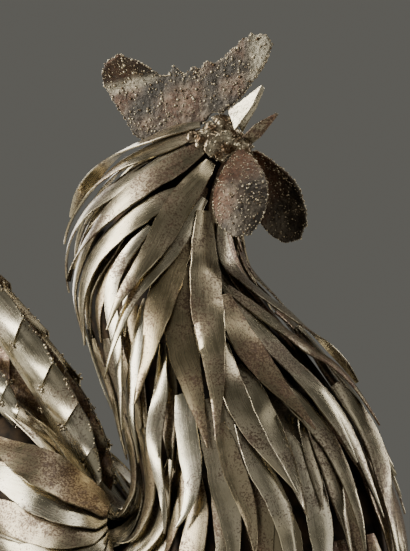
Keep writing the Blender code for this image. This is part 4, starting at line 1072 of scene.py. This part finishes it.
def finished(mesh, kind, number=0, rim_extra=0.0, rim_axis=None):
    """The even mesh of a form with its kind's relief, the points before that relief, and the rim."""
    voxel, smooth, relief, seed, cells = FINISHES[kind]
    mesh = remeshed(mesh, voxel, smooth)
    return (mesh, *roughen(mesh, relief, cells, seed + number, rim_extra, rim_axis))


def blotches(points, kind, number=0):
    """Noise for a piece's blotches of colour; pieces of one kind differ by their number."""
    size, seed = BLOTCHES[kind]
    return noise_of(points, size, seed + number)


def spatter(sheaf, mesh, count, rim, low, high, rng):
    """Scatters beads of weld metal on a mesh, dense along its rim."""
    points, normals = arrays_of(mesh)
    chance = 1 + SPATTER_RIM * rim
    chosen = rng.choice(len(points), count, replace=False, p=chance / chance.sum())
    sizes = low + (high - low) * rng.random(count) ** SPATTER_POWER
    tone = looks(rng.random(count), rng.random(count), rng.random(count))
    sheaf.add_lumps(points[chosen] + normals[chosen] * (sizes * 0.25)[:, None], normals[chosen], sizes, tone)


def build_comb(context):
    """The comb: torch cut plate with ragged edges and beads of spatter."""
    scene = context.scene
    sizes = scene.rooster_sizes
    rng = np.random.default_rng(SEEDS["comb"])
    mesh, points, rim = finished(node_mesh("comb"), "comb", 0, COMB_RIM, (0, 1, 0))
    blotch = blotches(points, "comb")
    start, end = (np.array(figure_point(x, 0, z)) for x, z in COMB_FOLD)
    up = np.array([start[2] - end[2], 0, end[0] - start[0]]) / np.linalg.norm(end - start)
    above = (points - start) @ up
    rear = np.interp(points[:, 0], end[0] + np.array(REAR_EDGE), (1.0, 0.0))
    crease = rear * np.exp(-((above - CREASE_PLACE) / CREASE_WIDTH) ** 2)
    hollow = rear * np.interp(above, HOLLOW_EDGE, (0.0, 1.0))
    lobe = np.interp(points[:, 0], FRONT_LOBE, (0.0, 1.0))
    burnt = np.exp(-((points[:, 0] - BURN_X) ** 2 + (points[:, 2] - BURN_Z) ** 2) / BURN_WIDTH ** 2)
    rust = 0.10 + 0.4 * rim + 0.3 * blotch + 0.35 * hollow - lobe
    bare = rim * 0.5 - 0.2 + 0.2 * blotch + 0.75 * crease + 0.75 * lobe
    heat = 0.2 - blotch * 1.4 - crease - lobe + 0.4 * hollow + burnt
    store(mesh, "tone", np.clip(looks(rust, bare, heat), 0, 1))
    piece = place_piece("comb_finished", mesh, material(scene, "comb"), CAST_CREASE)
    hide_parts("comb")
    sheaf = Sheaf()
    spatter(sheaf, mesh, sizes.bead_count, rim, sizes.bead_low, sizes.bead_high, rng)
    sheaf.make("comb_spatter", material(scene, "bead"), "weld_metal", CAST_CREASE)


def build_wattles(context):
    """The wattles: dark rough sheets with a lighter rim, one on each side of the jaw."""
    scene = context.scene
    sizes = scene.rooster_sizes
    for number, (name, top, out) in enumerate(WATTLES):
        rng = np.random.default_rng(SEEDS["wattle"] + number)
        mesh, points, rim = finished(node_mesh(name), "wattle", number, WATTLE_RIM, out)
        drop = (figure_point(*top)[2] - points[:, 2]) / WATTLE_LENGTH
        blotch = blotches(points, "wattle", number)
        ahead = (points[:, 0] - points[:, 0].min()) / WATTLE_WIDTH
        rust = 1.1 - drop * 1.1 - ahead * 0.8 + blotch * 0.5
        store(mesh, "tone", np.clip(looks(rust, rim * 0.8, 0.05 + blotch * 0.6), 0, 1))
        piece = place_piece(name + "_finished", mesh, material(scene, "wattle"),
                            CAST_CREASE)
        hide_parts(name)
        sheaf = Sheaf()
        spatter(sheaf, mesh, sizes.bead_count // 2, rim, sizes.bead_low, sizes.bead_high * 0.7, rng)
        sheaf.make(name + "_spatter", material(scene, "bead"), "weld_metal", CAST_CREASE)


def build_beak(context):
    """Both halves of the beak: ground sheet, bright, with the grinder's unevenness."""
    scene = context.scene
    for number, name in enumerate(("upper_beak", "lower_beak")):
        mesh, points, _ = finished(node_mesh(name), "beak", number, BEAK_RIM, (0, 1, 0))
        # The lower half is rustier, and is painted darker than the upper: painted shade, as it faces away
        # from the light
        rust = 0.2 + 0.5 * number + 0.5 * blotches(points, "beak", number)
        store(mesh, "tone", np.clip(looks(rust, 0.7 - 0.4 * number, 0.2), 0, 1))
        store(mesh, "lay", points)
        piece = place_piece(name + "_finished", mesh, material(scene, "flat bar"), BEAK_CREASE)
        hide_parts(name)


def build_head_weld(context):
    """The weld that joins neck, comb, beak and wattles: fused runs and lumps of golden brown bead."""
    scene = context.scene
    rng = np.random.default_rng(SEEDS["weld"])
    runs = Sheaf()
    count = WELD_LUMPS
    side = np.where(np.arange(count) % 2, 1, -1)
    angle, station = side * rng.uniform(*WELD_ANGLES, count), rng.uniform(*WELD_STATIONS, count)
    places = raised_point(angle, station, rng.uniform(*WELD_RISE, count))
    radii = rng.uniform(*WELD_RADII, count)
    runs.add_lumps(places, body_axes(angle, station)[2], radii, np.ones((count, 4)), WELD_SQUASH)
    joined = bmesh.new()
    joined.from_mesh(runs.mesh("weld runs"))
    joined.from_mesh(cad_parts["head_weld"].data)
    draft = bpy.data.meshes.new("weld draft")
    joined.to_mesh(draft)
    joined.free()
    mesh, points, rim = finished(draft, "weld")
    store(mesh, "tone", np.clip(looks(0.75 + blotches(points, "weld") * 0.8, 0.3, 0.2), 0, 1))
    piece = place_piece("head_weld_finished", mesh, material(scene, "bead"), CAST_CREASE)
    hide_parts("head_weld")
    sheaf = Sheaf()
    spatter(sheaf, mesh, WELD_BEADS, rim, *WELD_SPATTER, rng)
    sheaf.make("head_weld_spatter", material(scene, "bead"), "weld_metal", CAST_CREASE)


def tail_lobe(path, start, stop, width, lane, notch, sizes):
    """One arched lobe of a tail plate, cut slantwise; its root end stands out over the lobe below."""
    outward = 1 if lane > 0 else -1
    across = np.linspace(-1, 1, TAIL_SIDES)
    rings, lays = [], []
    for f in np.linspace(0, 1, TAIL_RINGS):
        position = start + (stop - start) * f
        root = TAIL_ROOT + (1 - TAIL_ROOT) * min(1.0, position / TAIL_GROWTH)
        fall = max(0.0, (position - TAIL_TAPER) / TAIL_TAPER_RUN)
        half = share(width) / 2 * root * (1 - TAIL_THINNING * fall ** TAIL_POWER)
        line = []
        for a in across:
            front = max(0.0, a)
            place = position + TAIL_SLANT * a + notch * max(0.0, a - 0.5) * (1 - f)
            place = min(TAIL_END, max(0.0, place))
            here = smooth_through(path, place)
            behind = smooth_through(path, max(0, place - TAIL_REACH))
            ahead = smooth_through(path, min(1, place + TAIL_REACH)) - behind
            ahead /= np.linalg.norm(ahead)
            reach = half * a * (1 - TAIL_STEP * f * front)
            arch = sizes.tail_arch * min(1, half / share(width) * 2) * (1 - a * a)
            lip = sizes.tail_lip * (1 - f) ** 3 * np.clip((a + 0.45) / 0.9, 0, 1) * (1 - 0.6 * fall)
            line.append((share(here[0]) + ahead[1] * reach,
                         TAIL_LANE * lane * (1 + 0.5 * place) + outward * (arch + lip),
                         share(here[1]) + PLATE_THICKNESS - ahead[0] * reach))
        line = np.array(line)
        deep = np.array([0, -outward * sizes.tail_thickness, 0])
        rings.append(np.concatenate([line, line[::-1] + deep]))
        span = np.concatenate([across, across[::-1]]) * half
        lays.append(np.stack([0 * span + position * TAIL_RUN, span, 0 * span + 3 + start * 9], -1))
    return np.array(rings), np.array(lays)


def build_tail(context):
    """The sickles of the tail: arched lobes that overlap, cut slantwise, with weld at the cuts' ends."""
    scene = context.scene
    sizes = scene.rooster_sizes
    rng = np.random.default_rng(SEEDS["tail"])
    for name, lane, width, *path in TAIL_PLATES:
        sheaf, beads = Sheaf(), Sheaf()
        brown = name in BROWN_TAIL
        outward = 1 if lane > 0 else -1
        for k in range(TAIL_LOBES):
            start = max(TAIL_START, (k - TAIL_OVERLAP) / TAIL_LOBES)
            stop = min(TAIL_STOP, (k + 1.0) / TAIL_LOBES)
            notch = TAIL_NOTCH * (2 if brown else 0.5)
            rings, lays = tail_lobe(path, start, stop, width, lane, notch, sizes)
            look = (rng.uniform(0.1, 0.35) + 0.5 * brown, 0.1 if brown else rng.uniform(0.7, 1.0),
                    rng.uniform(0.1, 0.6), 1.0)
            sheaf.add_strip(rings, lays, np.tile(look, (TAIL_RINGS, 1)))
            # Drops of weld at the inner end of the cut and along the front edge
            inner, front = rings[0, TAIL_SIDES // 3], rings[:, TAIL_SIDES - 1]
            inner = inner + rng.normal(0, DROP_SPREAD, (TAIL_DROPS, 3)) * (1, 0.2, 1)
            front = front[rng.integers(0, TAIL_RINGS, TAIL_DROPS)]
            places = np.vstack([inner, front + rng.normal(0, DROP_LINE, (TAIL_DROPS, 3))])
            outs = np.tile((0.0, float(outward), 0.0), (len(places), 1))
            radii = rng.uniform(*DROP_RADII, len(places))
            tone = looks(rng.random(len(places)) * 0.8, 0, 0)
            beads.add_lumps(places + outs * DROP_RADII[0], outs, radii, tone)
        slot = "brown_tail_steel" if brown else "tail_steel"
        piece = sheaf.make(name + "_finished", material(scene, "flat bar"), slot)
        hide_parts(name)
        beads.make(name + "_weld_drops", material(scene, "bead"), "weld_metal", CAST_CREASE)


def build_legs(context):
    """The legs: thick bar and rod with weld runs at the joints, scaled and dull."""
    scene = context.scene
    for number, name in enumerate(("leg_right", "leg_left")):
        mesh, *_ = finished(node_mesh(name), "leg", number)
        piece = place_piece(name + "_finished", mesh, material(scene, "plate"), CAST_CREASE)
        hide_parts(name)


def build_base(context):
    """The base plate keeps its own mesh and gets its mill scale."""
    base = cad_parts["base_plate"]
    base.data.materials.clear()
    base.data.materials.append(material(context.scene, "plate"))


def aim(piece, target):
    """Turns a light or camera towards a point."""
    piece.rotation_euler = (Vector(target) - piece.location).to_track_quat("-Z", "Y").to_euler()


def add_light(name, place, width, height, watts):
    """A soft rectangular studio light."""
    lamp = bpy.data.lights.new(name, "AREA")
    lamp.shape = "RECTANGLE"
    lamp.size = width
    lamp.size_y = height
    lamp.energy = watts
    lamp.color = LIGHT_COLOUR
    light = bpy.data.objects.new(name, lamp)
    light.location = place
    aim(light, LIGHT_AIM)
    bpy.context.scene.collection.objects.link(light)


def build_stage(context):
    """Pale floor, soft light, grey surroundings and the camera."""
    scene = context.scene
    sizes = scene.rooster_sizes
    bm = bmesh.new()
    bmesh.ops.create_circle(bm, cap_ends=True, segments=FLOOR_CORNERS,
                            radius=sizes.floor_radius)
    mesh = bpy.data.meshes.new("studio_floor")
    bm.to_mesh(mesh)
    bm.free()
    floor = bpy.data.objects.new("studio_floor", mesh)
    floor.location.z = -FLOOR_DROP
    scene.collection.objects.link(floor)
    mesh.materials.append(material(scene, "floor"))
    world = bpy.data.worlds.new("studio")
    world.use_nodes = True
    background = world.node_tree.nodes["Background"]
    background.inputs["Color"].default_value = (*palette(scene).surroundings, 1)
    scene.world = world
    for light in LIGHTS:
        add_light(*light)
    camera_data = bpy.data.cameras.new("photo view")
    camera_data.lens = CAMERA_LENS
    camera_data.sensor_width = CAMERA_SENSOR
    camera = bpy.data.objects.new("photo view", camera_data)
    camera.location = CAMERA_PLACE
    aim(camera, CAMERA_AIM)
    scene.collection.objects.link(camera)
    scene.camera = camera


def colour_property(name, text, hex_colour):
    """A colour that the panel shows."""
    return FloatVectorProperty(name=name, description=text, subtype="COLOR", size=3, min=0, max=1,
                               default=linear(hex_colour))


def length_property(name, text, default):
    """A length that the panel shows."""
    return FloatProperty(name=name, description=text, default=default, min=0, unit="LENGTH", precision=4)


class RoosterSizes(bpy.types.PropertyGroup):
    """Sizes and counts that the panel shows"""
    blade_thickness: length_property("Blade thickness", "Thickness of the flat bar", 0.0019)
    edge_chamfer: length_property("Edge chamfer", "Width of the eased edge of a blade", 0.0006)
    blade_crown: length_property("Blade crown", "How far the middle of a blade's face stands out", 0.0009)
    feather_depth: length_property("Feather depth", "How deep the lowest feathers lie", 0.008)
    feather_top: FloatProperty(name="Feather top", description="How high a filling feather may lie",
                               default=-0.0012, unit="LENGTH", precision=4)
    course_spacing: length_property("Course spacing", "Distance between courses of feathers", 0.040)
    feather_overlap: FloatProperty(name="Feather overlap", description="Step between feathers, in bar widths",
                                   default=0.92, min=0.5, max=2.0)
    bead_low: length_property("Smallest bead", "Radius of the smallest bead of spatter", 0.0005)
    bead_high: length_property("Largest bead", "Radius of the largest bead of spatter", 0.0017)
    bead_count: IntProperty(name="Beads", description="Beads of spatter on the comb", default=1500, min=0)
    tail_arch: length_property("Tail arch", "How far a tail plate bulges", 0.007)
    tail_lip: length_property("Tail lip", "How far the end of a lobe stands out over the next one", 0.0060)
    tail_thickness: length_property("Tail thickness", "Sheet of the tail plates", 0.002)
    floor_radius: length_property("Floor radius", "Radius of the studio floor", 4.0)


class RoosterColours(bpy.types.PropertyGroup):
    """Colours that the panel shows"""
    steel_light: colour_property("Light steel", "Ground steel where it is brightest", "#d8d3bf")
    steel_dark: colour_property("Dark steel", "Ground steel in its darker patches", "#aea892")
    gold_film: colour_property("Gold film", "Straw heat tint and lacquer", "#d8bd84")
    brown_film: colour_property("Brown film", "Thin rust under the lacquer", "#70593f")
    # Darkens blades of low brightness: a duller finish, and painted shade on blades turned from the key light
    dull_film_and_painted_shade: colour_property("Dull film", "What darkens the duller blades", "#989182")
    dark_rust: colour_property("Dark rust", "Rust specks", "#432c20")
    orange_rust: colour_property("Orange rust", "Open rust", "#8a5230")
    # Pits and holes in the steel, and also the near-black painted shade of the backing under the feathers
    pit: colour_property("Pits", "Pits and soot", "#1a1714")
    scale_dark: colour_property("Dark scale", "Blue-black scale", "#4a4641")
    plate_dark: colour_property("Dark plate", "Darkest scale on comb and wattles", "#3d3832")
    plate_rust: colour_property("Plate rust", "Rust on comb and wattles", "#7d4827")
    plate_light: colour_property("Light plate", "Lightest scale on comb and wattles", "#655d51")
    scale_light: colour_property("Light scale", "Worn scale", "#948a79")
    heat_blue: colour_property("Heat blue", "Dark heat tint", "#35332f")
    bead: colour_property("Bead", "Bright beads of spatter", "#cdc2a6")
    bead_brown: colour_property("Brown bead", "Brown beads of spatter", "#5c4a36")
    floor: colour_property("Floor", "Studio floor", "#c9c7c1")
    surroundings: colour_property("Surroundings", "Grey wall around the scene", "#5f5e59")


class ROOSTER_OT_plumage(bpy.types.Operator):
    """Lay the feathers and the outer blades on the body"""
    bl_idname = "rooster.plumage"
    bl_label = "Lay plumage"

    def execute(self, context):
        lay_plumage(context)
        return {"FINISHED"}


class ROOSTER_OT_comb(bpy.types.Operator):
    """Make the comb with its spatter"""
    bl_idname = "rooster.comb"
    bl_label = "Build comb"

    def execute(self, context):
        build_comb(context)
        return {"FINISHED"}


class ROOSTER_OT_wattles(bpy.types.Operator):
    """Make both wattles with their spatter"""
    bl_idname = "rooster.wattles"
    bl_label = "Build wattles"

    def execute(self, context):
        build_wattles(context)
        return {"FINISHED"}


class ROOSTER_OT_beak(bpy.types.Operator):
    """Make both halves of the beak"""
    bl_idname = "rooster.beak"
    bl_label = "Build beak"

    def execute(self, context):
        build_beak(context)
        return {"FINISHED"}


class ROOSTER_OT_head_weld(bpy.types.Operator):
    """Make the weld that joins the head's pieces"""
    bl_idname = "rooster.head_weld"
    bl_label = "Build head weld"

    def execute(self, context):
        build_head_weld(context)
        return {"FINISHED"}


class ROOSTER_OT_tail(bpy.types.Operator):
    """Make the tail plates with their cuts and welds"""
    bl_idname = "rooster.tail"
    bl_label = "Build tail"

    def execute(self, context):
        build_tail(context)
        return {"FINISHED"}


class ROOSTER_OT_legs(bpy.types.Operator):
    """Make both legs"""
    bl_idname = "rooster.legs"
    bl_label = "Build legs"

    def execute(self, context):
        build_legs(context)
        return {"FINISHED"}


class ROOSTER_OT_base(bpy.types.Operator):
    """Give the base plate its mill scale"""
    bl_idname = "rooster.base"
    bl_label = "Finish base"

    def execute(self, context):
        build_base(context)
        return {"FINISHED"}


class ROOSTER_OT_stage(bpy.types.Operator):
    """Make the floor, the lights and the camera"""
    bl_idname = "rooster.stage"
    bl_label = "Build stage"

    def execute(self, context):
        build_stage(context)
        return {"FINISHED"}


OPERATORS = (ROOSTER_OT_plumage, ROOSTER_OT_comb, ROOSTER_OT_wattles, ROOSTER_OT_beak, ROOSTER_OT_head_weld,
             ROOSTER_OT_tail, ROOSTER_OT_legs, ROOSTER_OT_base, ROOSTER_OT_stage)


class ROOSTER_PT_panel(bpy.types.Panel):
    """Sizes, colours and building steps of the rooster"""
    bl_label = "Rooster"
    bl_idname = "ROOSTER_PT_panel"
    bl_space_type = "VIEW_3D"
    bl_region_type = "UI"
    bl_category = "Rooster"

    def draw(self, context):
        for made in OPERATORS:
            self.layout.operator(made.bl_idname)
        for group in (context.scene.rooster_sizes, context.scene.rooster_colours):
            for key in group.bl_rna.properties.keys():
                if key not in ("rna_type", "name"):
                    self.layout.prop(group, key)


CLASSES = (RoosterSizes, RoosterColours, *OPERATORS, ROOSTER_PT_panel)


def register():
    """Registers the classes and the settings of the panel."""
    for made in CLASSES:
        bpy.utils.register_class(made)
    bpy.types.Scene.rooster_sizes = PointerProperty(type=RoosterSizes)
    bpy.types.Scene.rooster_colours = PointerProperty(type=RoosterColours)


def unregister():
    """Takes the settings and the classes away."""
    del bpy.types.Scene.rooster_colours
    del bpy.types.Scene.rooster_sizes
    for made in reversed(CLASSES):
        bpy.utils.unregister_class(made)


def main():
    """Builds everything in order."""
    register()
    for made in OPERATORS:
        getattr(bpy.ops.rooster, made.bl_idname.split(".")[1])()


if __name__ == "__main__":
    main()
